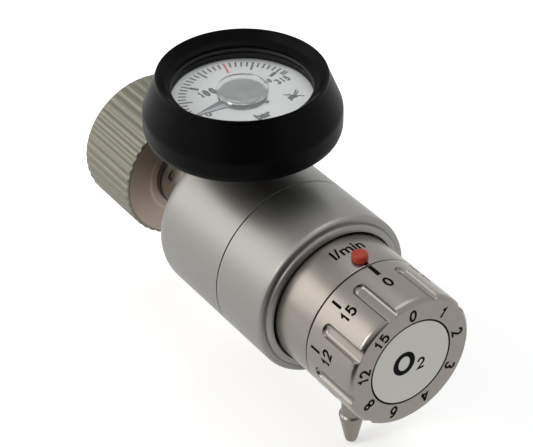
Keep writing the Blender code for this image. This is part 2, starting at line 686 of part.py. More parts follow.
def make_core():
    ring_floor = PISTON_STEM_RADIUS + 2 * GAP + 2 * STEM_RING_WIRE
    guide = PISTON_STEM_RADIUS + GAP
    ring_high = sleeve_end - SLEEVE_LIP
    ring_low = ring_high - 2 * STEM_RING_WIRE - 2 * GAP
    chamber = seat_chamber_start
    passage_end = nozzle_tip - NOZZLE_BORE_LENGTH
    core = [(neck_start, stem_radius + GAP), (neck_start, NECK_RADIUS - NECK_BEVEL),
            (neck_start + NECK_BEVEL, NECK_RADIUS), (core_shoulder, NECK_RADIUS),
            (core_shoulder, core_radius), (core_end, core_radius), (core_end, piston_bore_radius),
            (spring_pocket_start, piston_bore_radius),
            (spring_pocket_start, SLEEVE_RADIUS), (sleeve_end, SLEEVE_RADIUS), (sleeve_end, guide),
            (ring_high, guide), (ring_high, ring_floor), (ring_low, ring_floor), (ring_low, guide),
            (chamber, guide), (chamber, NOZZLE_BORE_RADIUS + NOZZLE_FOOT),
            (nozzle_tip, NOZZLE_BORE_RADIUS + NOZZLE_LAND),
            (nozzle_tip, NOZZLE_BORE_RADIUS), (passage_end, NOZZLE_BORE_RADIUS),
            (passage_end, INLET_BORE_RADIUS), (stem_end + GAP, INLET_BORE_RADIUS),
            (stem_end + GAP, stem_radius + GAP)]
    body = turned("regulator_core", main_axis, core, brass, FINE)
    boss_root = core_radius - GAUGE_BOSS_ROOT
    boss = [(boss_root, 0), (boss_root, GAUGE_BOSS_RADIUS),
            (gauge_boss_top, GAUGE_BOSS_RADIUS), (gauge_boss_top, 0)]
    join(body, turned("gauge_boss", gauge_axis, boss, None, MEDIUM))
    port = [(INLET_BORE_RADIUS / 2, 0), (INLET_BORE_RADIUS / 2, GAUGE_BORE_RADIUS),
            (gauge_thread_bottom - GAP, GAUGE_BORE_RADIUS),
            (gauge_thread_bottom - GAP, GAUGE_THREAD_RADIUS + GAP),
            (gauge_boss_top + OVERCUT, GAUGE_THREAD_RADIUS + GAP), (gauge_boss_top + OVERCUT, 0)]
    cut(body, turned("gauge_port", gauge_axis, port, None, COARSE))
    relief = [(piston_bore_radius - OVERCUT, 0), (piston_bore_radius - OVERCUT, RELIEF_PORT_RADIUS),
              (relief_bore_floor, RELIEF_PORT_RADIUS), (relief_bore_floor, RELIEF_BORE_RADIUS),
              (core_radius + OVERCUT, RELIEF_BORE_RADIUS), (core_radius + OVERCUT, 0)]
    cut(body, turned("relief_bore", relief_axis, relief, None, COARSE))
    half_width = NECK_SLOT_WIDTH / 2
    slot_place = neck_start + NECK_SLOT_SETBACK
    reach = NECK_RADIUS - NECK_SLOT_DEPTH
    slot = prism_shape([(reach, -half_width), (NECK_RADIUS + OVERCUT, -half_width),
                        (NECK_RADIUS + OVERCUT, half_width), (reach, half_width)],
                       slot_place - NECK_SLOT_LENGTH / 2, slot_place + NECK_SLOT_LENGTH / 2)
    turns = [Matrix.Rotation(math.radians(NECK_SLOT_ANGLE + half), 4, "Z") for half in (0, 180)]
    cut(body, place("neck_slots", repeated_shape(slot, turns), main_axis, None))
    ring_radius = guide + STEM_RING_WIRE
    turned("piston_stem_o_ring", main_axis,
           ring_outline((ring_low + ring_high) / 2, ring_radius, STEM_RING_WIRE), seal_rubber, COARSE)


def make_housings():
    hole = NECK_RADIUS + GAP
    start = housing_start
    seam = housing_seam - GAP / 2
    lap_radius = housing_inner - GAP
    lap_wall = HOUSING_LAP_WALL
    inner_round = HOUSING_REAR_ROUND - HOUSING_WALL
    rear_inside = start + HOUSING_REAR_WALL
    rear = [(start, hole)]
    rear += arc(start + HOUSING_REAR_ROUND, HOUSING_RADIUS - HOUSING_REAR_ROUND,
                HOUSING_REAR_ROUND, 180, 90, 5)
    rear += [(seam, HOUSING_RADIUS), (seam, lap_radius), (seam + HOUSING_LAP, lap_radius),
             (seam + HOUSING_LAP, lap_radius - lap_wall), (seam - HOUSING_LAP, lap_radius - lap_wall),
             (seam - HOUSING_LAP - lap_wall, housing_inner), (rear_inside + inner_round, housing_inner),
             (rear_inside, housing_inner - inner_round), (rear_inside, hole)]
    shell = turned("rear_housing", main_axis, rear, satin_nickel, VISIBLE)
    drill(shell, "gauge_hole", gauge_axis, core_radius, HOUSING_RADIUS + OVERCUT,
          GAUGE_BOSS_RADIUS + GAP, MEDIUM)
    opening = flow_radius + GAP
    front = housing_front
    rim = opening + FRONT_RIM_WIDTH
    bevel = FRONT_GROOVE_BEVEL
    floor = front - FRONT_GROOVE_DEPTH
    crest = front + FRONT_RIM_HEIGHT
    sleeve = [(housing_seam + GAP / 2, housing_inner), (housing_seam + GAP / 2, HOUSING_RADIUS)]
    sleeve += arc(front - HOUSING_FRONT_ROUND, HOUSING_RADIUS - HOUSING_FRONT_ROUND,
                  HOUSING_FRONT_ROUND, 90, 0, 4)
    sleeve += [(floor, rim + 1.5 * bevel), (floor, rim + bevel / 2), (crest, rim),
               (crest, opening + bevel / 2), (front, opening), (front - HOUSING_FRONT_WALL, opening),
               (front - HOUSING_FRONT_WALL, housing_inner)]
    turned("front_housing", main_axis, sleeve, satin_nickel, VISIBLE)


def make_piston():
    stem_start = seat_face + GAP
    pocket_end = seat_face + SEAT_LENGTH + GAP
    head_radius = piston_bore_radius - GAP
    groove = 2 * PISTON_RING_WIRE + 2 * GAP
    groove_low = (piston_head_start + piston_head_end - groove) / 2
    ring_radius = head_radius - PISTON_RING_WIRE
    groove_floor = ring_radius - PISTON_RING_WIRE - GAP
    gas_bore = PISTON_BORE_RADIUS
    bore_start = pocket_end + PISTON_BORE_SETBACK
    cross_end = PISTON_STEM_RADIUS + OVERCUT
    outline = [(stem_start, SEAT_RADIUS + GAP), (stem_start, PISTON_STEM_RADIUS),
               (piston_head_start, PISTON_STEM_RADIUS), (piston_head_start, head_radius),
               (groove_low, head_radius), (groove_low, groove_floor), (groove_low + groove, groove_floor),
               (groove_low + groove, head_radius), (piston_head_end, head_radius),
               (piston_head_end, gas_bore), (bore_start, gas_bore), (bore_start, 0)]
    outline = [(pocket_end, 0), (pocket_end, SEAT_RADIUS + GAP)] + outline
    piston = turned("piston", main_axis, outline, brass, FINE)
    cross = turned_shape([(-cross_end, 0), (-cross_end, PISTON_CROSS_RADIUS),
                          (cross_end, PISTON_CROSS_RADIUS), (cross_end, 0)], 8)
    along = Matrix.Translation((0, 0, bore_start + PISTON_CROSS_SETBACK))
    sideways = along @ Matrix.Rotation(math.pi / 2, 4, "Y")
    cut(piston, place("piston_cross_hole", repeated_shape(cross, [sideways]), main_axis, None))
    turned("piston_o_ring", main_axis,
           ring_outline(groove_low + groove / 2, ring_radius, PISTON_RING_WIRE), seal_rubber, FINE)
    seat = [(seat_face, 0), (seat_face, SEAT_RADIUS), (seat_face + SEAT_LENGTH, SEAT_RADIUS),
            (seat_face + SEAT_LENGTH, 0)]
    turned("valve_seat", main_axis, seat, seat_plastic, COARSE)
    coil("main_spring", main_axis, main_spring_radius, MAIN_SPRING_WIRE, spring_pocket_start + GAP,
         piston_head_start - GAP, MAIN_SPRING_TURNS, spring_steel)


def make_relief_valve():
    disc_low = relief_bore_floor + GAP
    disc_high = disc_low + RELIEF_DISC_LENGTH
    cap_start = disc_high + RELIEF_TRAVEL + GAP
    cap_radius = RELIEF_BORE_RADIUS - GAP
    stem_end_place = disc_high + RELIEF_STEM_LENGTH
    poppet = [(disc_low, 0), (disc_low, cap_radius), (disc_high, cap_radius), (disc_high, RELIEF_STEM_RADIUS),
              (stem_end_place, RELIEF_STEM_RADIUS), (stem_end_place, 0)]
    turned("relief_poppet", relief_axis, poppet, brass, COARSE, (0, 0, disc_low))
    inside = cap_radius - RELIEF_CAP_WALL
    cap_floor = relief_cap_end - RELIEF_CAP_FLOOR
    cap = [(cap_start, inside), (cap_start, cap_radius), (relief_cap_end, cap_radius),
           (relief_cap_end, RELIEF_PORT_RADIUS), (cap_floor, RELIEF_PORT_RADIUS),
           (cap_floor, inside)]
    turned("relief_cap", relief_axis, cap, brass, COARSE)
    coil("relief_spring", relief_axis, RELIEF_SPRING_RADIUS, RELIEF_SPRING_WIRE, disc_high + GAP,
         cap_floor - GAP, 4, spring_steel, 4, 8)


def make_flow_body():
    plug = piston_bore_radius - GAP
    groove = 2 * PLUG_RING_WIRE + 2 * GAP
    groove_low = flow_plug_start + PLUG_RING_SETBACK
    ring_radius = plug - PLUG_RING_WIRE
    groove_floor = ring_radius - PLUG_RING_WIRE - GAP
    tail_bore = SPINDLE_TAIL_RADIUS + GAP
    cover_bore = cover_radius + GAP
    cover_step = cover_start - GAP
    tail_floor = chamber_start - TAIL_BORE_DEPTH
    outline = [(flow_plug_start, 0), (flow_plug_start, plug), (groove_low, plug), (groove_low, groove_floor),
               (groove_low + groove, groove_floor), (groove_low + groove, plug), (flow_collar_start, plug),
               (flow_collar_start, housing_inner - GAP), (flow_collar_end, housing_inner - GAP),
               (flow_collar_end, flow_radius), (flow_end - FLOW_EDGE, flow_radius),
               (flow_end, flow_radius - FLOW_EDGE), (flow_end, cover_bore), (cover_step, cover_bore),
               (cover_step, chamber_radius), (chamber_start, chamber_radius), (chamber_start, tail_bore),
               (tail_floor, tail_bore), (tail_floor, 0)]
    body = turned("flow_body", main_axis, outline, pearl_nickel, VISIBLE)
    feed_x, feed_y = polar(orifice_circle, -90)
    seal_pocket = FEED_SEAL_POCKET
    seal_wire = FEED_SEAL_WIRE
    seal_radius = FEED_RADIUS + GAP + seal_wire
    feed = [(flow_plug_start - OVERCUT, 0), (flow_plug_start - OVERCUT, FEED_RADIUS),
            (chamber_start - seal_pocket, FEED_RADIUS),
            (chamber_start - seal_pocket, seal_radius + seal_wire + GAP),
            (chamber_start + OVERCUT, seal_radius + seal_wire + GAP), (chamber_start + OVERCUT, 0)]
    cut(body, turned("feed_hole", main_axis, feed, None, COARSE, (feed_x, feed_y, 0)))
    seal_place = chamber_start - seal_pocket + GAP + seal_wire
    turned("orifice_seal", main_axis, ring_outline(seal_place, seal_radius, seal_wire), seal_rubber,
           COARSE, (feed_x, feed_y, 0))
    turned("plug_o_ring", main_axis, ring_outline(groove_low + groove / 2, ring_radius, PLUG_RING_WIRE),
           seal_rubber, FINE)
    seat_radius = BARB_FLATS / 2 + BARB_SEAT_MARGIN
    spot = [(chamber_radius - OVERCUT, 0), (chamber_radius - OVERCUT, BARB_ROOT_RADIUS + GAP),
            (barb_seat, BARB_ROOT_RADIUS + GAP), (barb_seat, seat_radius),
            (flow_radius + OVERCUT, seat_radius), (flow_radius + OVERCUT, 0)]
    cut(body, turned("barb_hole", barb_axis, spot, None, MEDIUM))
    drill(body, "pin_hole", pin_axis, flow_radius - PIN_STEM_LENGTH - GAP, flow_radius + OVERCUT,
          PIN_STEM_RADIUS + GAP, COARSE)
    ball_x, ball_y = polar(detent_circle, DETENT_ANGLE)
    ball_floor = flow_end - 2 * DETENT_BALL_RADIUS - DETENT_SPRING_LENGTH - 2 * GAP
    drill(body, "detent_hole", main_axis, ball_floor, flow_end + OVERCUT, DETENT_BALL_RADIUS + GAP, 12,
          (ball_x, ball_y, 0))
    stop_x, stop_y = polar(stop_circle, STOP_ANGLE)
    stop_floor = flow_end + STOP_PIN_REACH - STOP_PIN_LENGTH - GAP
    drill(body, "stop_hole", main_axis, stop_floor, flow_end + OVERCUT, STOP_PIN_RADIUS + GAP, 12,
          (stop_x, stop_y, 0))


def make_chamber_cover():
    bore = SPINDLE_RADIUS + GAP
    groove = 2 * SPINDLE_RING_WIRE + 2 * GAP
    middle = (cover_start + cover_end) / 2
    ring_radius = bore + SPINDLE_RING_WIRE
    floor = ring_radius + SPINDLE_RING_WIRE + GAP
    outline = [(cover_start, bore), (cover_start, cover_radius), (cover_end, cover_radius),
               (cover_end, bore), (middle + groove / 2, bore), (middle + groove / 2, floor),
               (middle - groove / 2, floor), (middle - groove / 2, bore)]
    turned("chamber_cover", main_axis, outline, brass, FINE)
    turned("spindle_o_ring", main_axis, ring_outline(middle, ring_radius, SPINDLE_RING_WIRE),
           seal_rubber, COARSE)


def make_orifice_disc():
    low = chamber_start + GAP
    high = low + ORIFICE_DISC_LENGTH
    waist = SPINDLE_TAIL_RADIUS + SPINDLE_WAIST_STEP
    bore = waist + GAP
    disc = turned("orifice_disc", main_axis,
                  [(low, bore), (low, orifice_disc_radius), (high, orifice_disc_radius), (high, bore)],
                  brass, FINE)
    holes = bmesh.new()
    for step in range(1, STEPS):
        centre = polar(orifice_circle, -90 - step_angle * step)
        ring = circle(ORIFICE_SMALLEST + ORIFICE_STEP * step, 8, centre)
        prism_shape(ring, low - OVERCUT, high + OVERCUT, holes)
    cut(disc, place("orifice_holes", holes, main_axis, None))
    tail_start = chamber_start - SPINDLE_TAIL_LENGTH
    screw_floor = screw_tip - SCREW_TIP_SPACE
    flange_low = high + GAP
    flange_high = flange_low + SPINDLE_FLANGE_LENGTH
    outline = [(tail_start, 0), (tail_start, SPINDLE_TAIL_RADIUS),
               (chamber_start + RUNNING_GAP, SPINDLE_TAIL_RADIUS), (chamber_start + RUNNING_GAP, waist),
               (flange_low, waist), (flange_low, SPINDLE_FLANGE_RADIUS),
               (flange_high, SPINDLE_FLANGE_RADIUS), (flange_high, SPINDLE_RADIUS),
               (spindle_end, SPINDLE_RADIUS), (spindle_end, SCREW_RADIUS + GAP),
               (screw_floor, SCREW_RADIUS + GAP), (screw_floor, 0)]
    turned("knob_spindle", main_axis, outline, brass, MEDIUM)


# Slots for the fingers, milled from the side with a round-nosed cutter and run out through the face.
def slot_cutters():
    size = slot_cutter_radius
    nose = knob_start + SLOT_SETBACK + SLOT_WIDTH / 2
    outline = arc(nose, 0, size, 180, 90, 3)
    outline[0] = (nose - size, 0)
    outline += [(knob_end + OVERCUT, size), (knob_end + OVERCUT, 0)]
    source = turned_shape(outline, MEDIUM)
    shift = Matrix.Translation((flow_radius - SLOT_DEPTH + size, 0, 0))
    turns = [Matrix.Rotation(math.radians(90 - step_angle * (k + 0.5)), 4, "Z") @ shift
             for k in range(STEPS)]
    return repeated_shape(source, turns)


def make_flow_knob():
    start = knob_start
    face = knob_end
    rim_inside = flow_radius - KNOB_RIM_WALL
    recess = start + KNOB_RECESS_DEPTH
    hub_bore = SPINDLE_RADIUS + GAP
    hub_start = start + KNOB_HUB_SETBACK
    bevel = KNOB_BEVEL_LENGTH
    drop = KNOB_BEVEL_DEPTH
    outline = [(start, rim_inside), (start, flow_radius - FLOW_EDGE), (start + FLOW_EDGE, flow_radius)]
    outline += [(face - bevel, flow_radius), (face - bevel * 2 / 3, flow_radius - drop / 9),
                (face - bevel / 3, flow_radius - drop * 4 / 9), (face, flow_radius - drop)]
    outline += [(face, label_radius + GAP), (label_floor, label_radius + GAP),
                (label_floor, SCREW_HEAD_RADIUS + GAP), (head_floor, SCREW_HEAD_RADIUS + GAP),
                (head_floor, SCREW_RADIUS + 2 * GAP), (spindle_end + GAP, SCREW_RADIUS + 2 * GAP),
                (spindle_end + GAP, hub_bore), (hub_start, hub_bore), (hub_start, KNOB_HUB_RADIUS),
                (recess, KNOB_HUB_RADIUS), (recess, rim_inside)]
    half_facet = math.pi / VISIBLE
    knob = turned("flow_knob", main_axis, outline, pearl_nickel, VISIBLE, turn=half_facet)
    cut(knob, place("slot_cutters", slot_cutters(), main_axis, None))
    dimple_low = start - OVERCUT
    dimple = turned_shape([(dimple_low, 0), (dimple_low, DETENT_DEPTH + OVERCUT),
                           (start + DETENT_DEPTH, 0)], 8)
    shift = Matrix.Translation((detent_circle, 0, 0))
    turns = [Matrix.Rotation(math.radians(DETENT_ANGLE - step_angle * k), 4, "Z") @ shift
             for k in range(STEPS)]
    cut(knob, place("detent_dimples", repeated_shape(dimple, turns), main_axis, None))
    cut(knob, place("stop_groove", stop_groove_shape(), main_axis, None))
    label_low = label_floor + GAP
    label_high = label_low + LABEL_LENGTH
    label = [(label_low, 0), (label_low, label_radius), (label_high, label_radius), (label_high, 0)]
    turned("knob_label_disc", main_axis, label, label_grey, VISIBLE)
    head_low = head_floor + GAP
    head_high = head_low + SCREW_HEAD_LENGTH
    socket = SCREW_SOCKET_RADIUS
    socket_floor = head_high - SCREW_SOCKET_DEPTH
    screw = [(screw_tip, 0), (screw_tip, SCREW_RADIUS), (head_low, SCREW_RADIUS),
             (head_low, SCREW_HEAD_RADIUS), (head_high, SCREW_HEAD_RADIUS), (head_high, socket),
             (socket_floor, socket), (socket_floor, 0)]
    turned("knob_screw", main_axis, screw, spring_steel, 12)


# The groove that the stop pin runs in leaves the knob eight steps of travel, from 0 to the last step.
def stop_groove_shape():
    inner = stop_circle - STOP_PIN_RADIUS - GAP
    outer = stop_circle + STOP_PIN_RADIUS + GAP
    slack = math.degrees((STOP_PIN_RADIUS + GAP) / stop_circle)
    first = STOP_ANGLE + slack
    last = STOP_ANGLE - step_angle * (STEPS - 1) - slack
    depth = STOP_PIN_REACH - (knob_start - flow_end) + GAP
    steps = 27
    rings = []
    for k in range(steps + 1):
        angle = first + (last - first) * k / steps
        rings.append([(*polar(radius, angle), level) for radius, level in (
            (inner, knob_start - OVERCUT), (outer, knob_start - OVERCUT),
            (outer, knob_start + depth), (inner, knob_start + depth))])
    return lofted_shape(rings)


def make_detent_and_pins():
    ball_x, ball_y = polar(detent_circle, DETENT_ANGLE)
    ball_centre = flow_end + DETENT_BALL_PROUD - DETENT_BALL_RADIUS
    sphere = arc(ball_centre, 0, DETENT_BALL_RADIUS, 180, 0, 6)
    turned("detent_ball", main_axis, sphere, spring_steel, 12, (ball_x, ball_y, ball_centre))
    spring_end = ball_centre - DETENT_SPRING_REST * DETENT_BALL_RADIUS - RUNNING_GAP
    spring_radius = DETENT_SPRING_SHARE * DETENT_BALL_RADIUS
    spring_start = flow_end - 2 * DETENT_BALL_RADIUS - DETENT_SPRING_LENGTH - GAP
    spring = coil("detent_spring", main_axis, spring_radius, DETENT_SPRING_WIRE,
                  spring_start, spring_end - DETENT_SPRING_WIRE, 4, spring_steel, 4, 8)
    spring.location = (ball_x, ball_y, 0)
    stop_x, stop_y = polar(stop_circle, STOP_ANGLE)
    stop_end = flow_end + STOP_PIN_REACH
    stop = [(stop_end - STOP_PIN_LENGTH, 0), (stop_end - STOP_PIN_LENGTH, STOP_PIN_RADIUS),
            (stop_end, STOP_PIN_RADIUS), (stop_end, 0)]
    turned("stop_pin", main_axis, stop, spring_steel, 12, (stop_x, stop_y, 0))
    head = flow_radius + GAP
    crown = head + PIN_HEAD_HEIGHT
    pin = [(flow_radius - PIN_STEM_LENGTH, 0), (flow_radius - PIN_STEM_LENGTH, PIN_STEM_RADIUS),
           (head, PIN_STEM_RADIUS), (head, PIN_HEAD_RADIUS)]
    corner = PIN_CROWN_ROUND
    pin += arc(crown - corner, PIN_HEAD_RADIUS - corner, corner, 90, 0, 3) + [(crown, 0)]
    turned("indicator_pin", pin_axis, pin, signal_red, MEDIUM)


def make_hose_barb():
    bore = BARB_BORE_RADIUS
    outline = [(barb_thread_start, bore), (barb_thread_start, BARB_ROOT_RADIUS),
               (barb_hex_high, BARB_ROOT_RADIUS), (barb_hex_high, BARB_NECK_RADIUS),
               (barb_neck_end, BARB_NECK_RADIUS),
               (barb_ridge, BARB_RIDGE_RADIUS), (barb_ridge + BARB_RIDGE_LENGTH, BARB_RIDGE_RADIUS),
               (barb_end - BARB_TIP_BEVEL, BARB_TIP_RADIUS), (barb_end, BARB_TIP_RADIUS - BARB_TIP_BEVEL),
               (barb_end, bore)]
    barb = turned("hose_barb", barb_axis, outline, pearl_nickel, MEDIUM)
    corner = BARB_FLATS / 2 / math.cos(math.pi / 6)
    flats = prism_shape(circle(corner, 6), barb_hex_low, barb_hex_high)
    nut = place("barb_hexagon", flats, barb_axis, None)
    drill(nut, "hexagon_bore", barb_axis, barb_hex_low - OVERCUT, barb_hex_high + OVERCUT,
          (bore + BARB_NECK_RADIUS) / 2, 12)
    join(barb, nut)
    low = barb_seat + GAP
    high = low + BARB_WASHER_LENGTH
    washer = [(low, BARB_ROOT_RADIUS + GAP), (low, BARB_FLATS / 2), (high, BARB_FLATS / 2),
              (high, BARB_ROOT_RADIUS + GAP)]
    turned("barb_washer", barb_axis, washer, seal_rubber, COARSE)


def make_gauge_socket():
    flange_high = case_bottom - GAP
    flange_low = flange_high - GAUGE_FLANGE_LENGTH
    corner = GAUGE_FLATS / 2 / math.cos(math.pi / 6)
    outline = [(gauge_thread_bottom, GAUGE_BORE_RADIUS), (gauge_thread_bottom, GAUGE_THREAD_RADIUS),
               (gauge_hex_top, GAUGE_THREAD_RADIUS), (gauge_hex_top, GAUGE_SHOULDER_RADIUS),
               (flange_low, GAUGE_SHOULDER_RADIUS), (flange_low, GAUGE_FLANGE_RADIUS),
               (flange_high, GAUGE_FLANGE_RADIUS), (flange_high, GAUGE_NECK_RADIUS),
               (socket_top, GAUGE_NECK_RADIUS), (socket_top, 0)]
    tube_feed = socket_top - SOCKET_TIP_WALL
    outline = [(tube_feed, 0), (tube_feed, GAUGE_BORE_RADIUS)] + outline
    socket = turned("gauge_socket", gauge_axis, outline, brass, MEDIUM)
    ring = prism_shape(circle(corner, 6), gauge_hex_low, gauge_hex_top)
    hexagon = place("gauge_hexagon", ring, gauge_axis, None)
    drill(hexagon, "gauge_hexagon_bore", gauge_axis, gauge_hex_low - OVERCUT, gauge_hex_top + OVERCUT,
          (GAUGE_BORE_RADIUS + GAUGE_THREAD_RADIUS) / 2, 12)
    join(socket, hexagon)
    foot = movement_floor + GAP
    half = ROOT_ARM_WIDTH / 2
    inner = GAUGE_NECK_RADIUS / 2
    end = tube_circle + TUBE_THICKNESS / 2 + ROOT_ARM_END
    arm = prism_shape([(inner, -half), (end, -half), (end, half), (inner, half)], foot, socket_top)
    turn = [Matrix.Rotation(math.radians(TUBE_ROOT_ANGLE), 4, "Z")]
    join(socket, place("root_arm", repeated_shape(arm, turn), gauge_axis, None))
    block_half = half - ROOT_BLOCK_MARGIN
    block_end = end - ROOT_BLOCK_MARGIN
    block_start = block_end - ROOT_BLOCK_LENGTH
    block = prism_shape([(block_start, -block_half), (block_end, -block_half), (block_end, block_half),
                         (block_start, block_half)], foot + ROOT_ARM_RISE, tube_bottom + TUBE_HEIGHT)
    join(socket, place("root_block", repeated_shape(block, turn), gauge_axis, None))
    low = gauge_washer_low
    high = low + GAUGE_WASHER_LENGTH
    washer_radius = GAUGE_BOSS_RADIUS - GAUGE_WASHER_MARGIN
    washer = [(low, GAUGE_THREAD_RADIUS + GAP), (low, washer_radius), (high, washer_radius),
              (high, GAUGE_THREAD_RADIUS + GAP)]
    turned("gauge_washer", gauge_axis, washer, seat_plastic, MEDIUM)


# The Bourdon tube is a flattened tube bent to a C, open at its root and closed at its tip.
def make_bourdon_tube():
    half_angle = math.degrees((ROOT_ARM_WIDTH / 2 - ROOT_BLOCK_MARGIN + GAP) / tube_circle)
    first = TUBE_ROOT_ANGLE - half_angle
    steps = 20
    sides = 6
    middle = tube_bottom + TUBE_HEIGHT / 2

    def section(angle, wall):
        points = []
        for m in range(sides):
            turn = math.tau * (m + 0.5) / sides
            out = tube_circle + (TUBE_THICKNESS / 2 - wall) * math.cos(turn) / math.cos(math.pi / sides)
            up = middle + (TUBE_HEIGHT / 2 - wall) * math.sin(turn) / math.cos(math.pi / sides)
            points.append((*polar(out, angle), up))
        return points

    angles = [first + (TUBE_TIP_ANGLE - first) * k / steps for k in range(steps + 1)]
    outside = [section(angle, 0) for angle in angles]
    inside = [section(angle, TUBE_WALL) for angle in angles[:-1]]
    rings = outside[::-1] + inside
    place("bourdon_tube", lofted_shape(rings), gauge_axis, brass)


# Half the angle that a tooth spans at one radius, from the involute of its base circle.
def tooth_half(teeth, radius):
    pitch = teeth * module / 2
    base = pitch * math.cos(math.radians(PRESSURE_ANGLE))
    start = math.radians(PRESSURE_ANGLE)
    slope = math.acos(min(1.0, base / max(radius, base)))
    thickness = (math.pi / 2 - TOOTH_PLAY) * module / (2 * pitch)
    return thickness + (math.tan(start) - start) - (math.tan(slope) - slope)


def tooth_outline(teeth, centre):
    pitch = teeth * module / 2
    levels = [pitch - TOOTH_BELOW * module, pitch, pitch + TOOTH_ABOVE * module]
    rising = [(radius, centre - tooth_half(teeth, radius)) for radius in levels]
    falling = [(radius, centre + tooth_half(teeth, radius)) for radius in reversed(levels)]
    return [(radius * math.cos(angle), radius * math.sin(angle)) for radius, angle in rising + falling]


def make_pointer_spindle():
    pitch = math.tau / PINION_TEETH
    towards_sector = math.radians(SECTOR_ANGLE)
    outline = []
    for k in range(PINION_TEETH):
        outline += tooth_outline(PINION_TEETH, towards_sector + pitch * (k + 0.5))
    pinion_low = sector_level + SECTOR_LENGTH / 2 - PINION_LENGTH / 2
    spindle = place("pointer_spindle", prism_shape(outline, pinion_low, pinion_low + PINION_LENGTH),
                    gauge_axis, brass)
    arbor = [(arbor_low, 0), (arbor_low, arbor_radius), (spindle_top, arbor_radius), (spindle_top, 0)]
    join(spindle, turned("pointer_arbor", gauge_axis, arbor, None, 12))


def make_sector_gear():
    pitch = math.tau / SECTOR_TEETH
    outline = []
    for k in range(SECTOR_FIRST_TOOTH, SECTOR_LAST_TOOTH + 1):
        outline += tooth_outline(SECTOR_TEETH, pitch * k)
    hub = SECTOR_HUB * module
    tail = SECTOR_TAIL_END * module
    outline += [polar(hub, 75), polar(hub, 130)]
    outline += [(-sector_tail + x, y) for x, y in (polar(tail, angle) for angle in range(90, 271, 30))]
    outline += [polar(hub, 230), polar(hub, 285)]
    centre_x, centre_y = polar(centre_distance, SECTOR_ANGLE)
    face_pinion = Matrix.Rotation(math.radians(SECTOR_ANGLE + 180), 4, "Z")
    shape = prism_shape(outline, sector_level, sector_level + SECTOR_LENGTH)
    origin = (centre_x, centre_y, 0)
    sector = place("sector_gear", repeated_shape(shape, [face_pinion]), gauge_axis, brass, origin)
    high = upper_plate + PLATE_LENGTH - RUNNING_GAP
    arbor = [(arbor_low, 0), (arbor_low, arbor_radius), (high, arbor_radius), (high, 0)]
    join(sector, turned("sector_arbor", gauge_axis, arbor, None, 12, (centre_x, centre_y, 0)))
    tail_x, tail_y = polar(centre_distance + sector_tail, SECTOR_ANGLE)
    drill(sector, "tail_hole", gauge_axis, sector_level - OVERCUT, sector_level + SECTOR_LENGTH + OVERCUT,
          arbor_radius, 8, (tail_x, tail_y, 0))
    tip = polar(tube_circle, TUBE_TIP_ANGLE + 3)
    far = (tip[0] - tail_x, tip[1] - tail_y)
    half = LINK_HALF_WIDTH * module
    bar = hull_shape([((0, 0), half), (far, half)], link_level, link_level + LINK_LENGTH, 10)
    link = place("tip_link", bar, gauge_axis, spring_steel, (tail_x, tail_y, 0))
    pin_radius = arbor_radius - RUNNING_GAP
    pin_top = link_level + LINK_LENGTH / 2
    pin = [(sector_level, 0), (sector_level, pin_radius), (pin_top, pin_radius), (pin_top, 0)]
    join(link, turned("link_pin", gauge_axis, pin, None, 8, (tail_x, tail_y, 0)))


# The two plates of the movement carry the arbors of the pinion and the sector, and one pillar at each end.
def make_movement_plates():
    sector_centre = polar(centre_distance, SECTOR_ANGLE)
    near_pillar = polar(NEAR_PILLAR * module, SECTOR_ANGLE + 180)
    offset = polar(FAR_PILLAR * module, SECTOR_ANGLE - 90)
    far_pillar = (sector_centre[0] + offset[0], sector_centre[1] + offset[1])
    ends = [(centre, PLATE_GRIP * module) for centre in (near_pillar, sector_centre, far_pillar)]
    pillar_radius = PILLAR_RADIUS * module
    levels = {"movement_lower_plate": lower_plate, "movement_upper_plate": upper_plate}
    for name, level in levels.items():
        plate = place(name, hull_shape(ends, level, level + PLATE_LENGTH), gauge_axis, brass)
        for tag, centre in (("pinion", (0, 0)), ("sector", sector_centre)):
            drill(plate, f"{name}_{tag}_hole", gauge_axis, level - OVERCUT, level + PLATE_LENGTH + OVERCUT,
                  arbor_radius + RUNNING_GAP, 12, (*centre, 0))
        if level == lower_plate:
            for tag, centre in (("near", near_pillar), ("far", far_pillar)):
                pillar = [(level + PLATE_LENGTH / 2, 0), (level + PLATE_LENGTH / 2, pillar_radius),
                          (upper_plate - GAP, pillar_radius), (upper_plate - GAP, 0)]
                join(plate, turned(f"{tag}_pillar", gauge_axis, pillar, None, 12, (*centre, 0)))


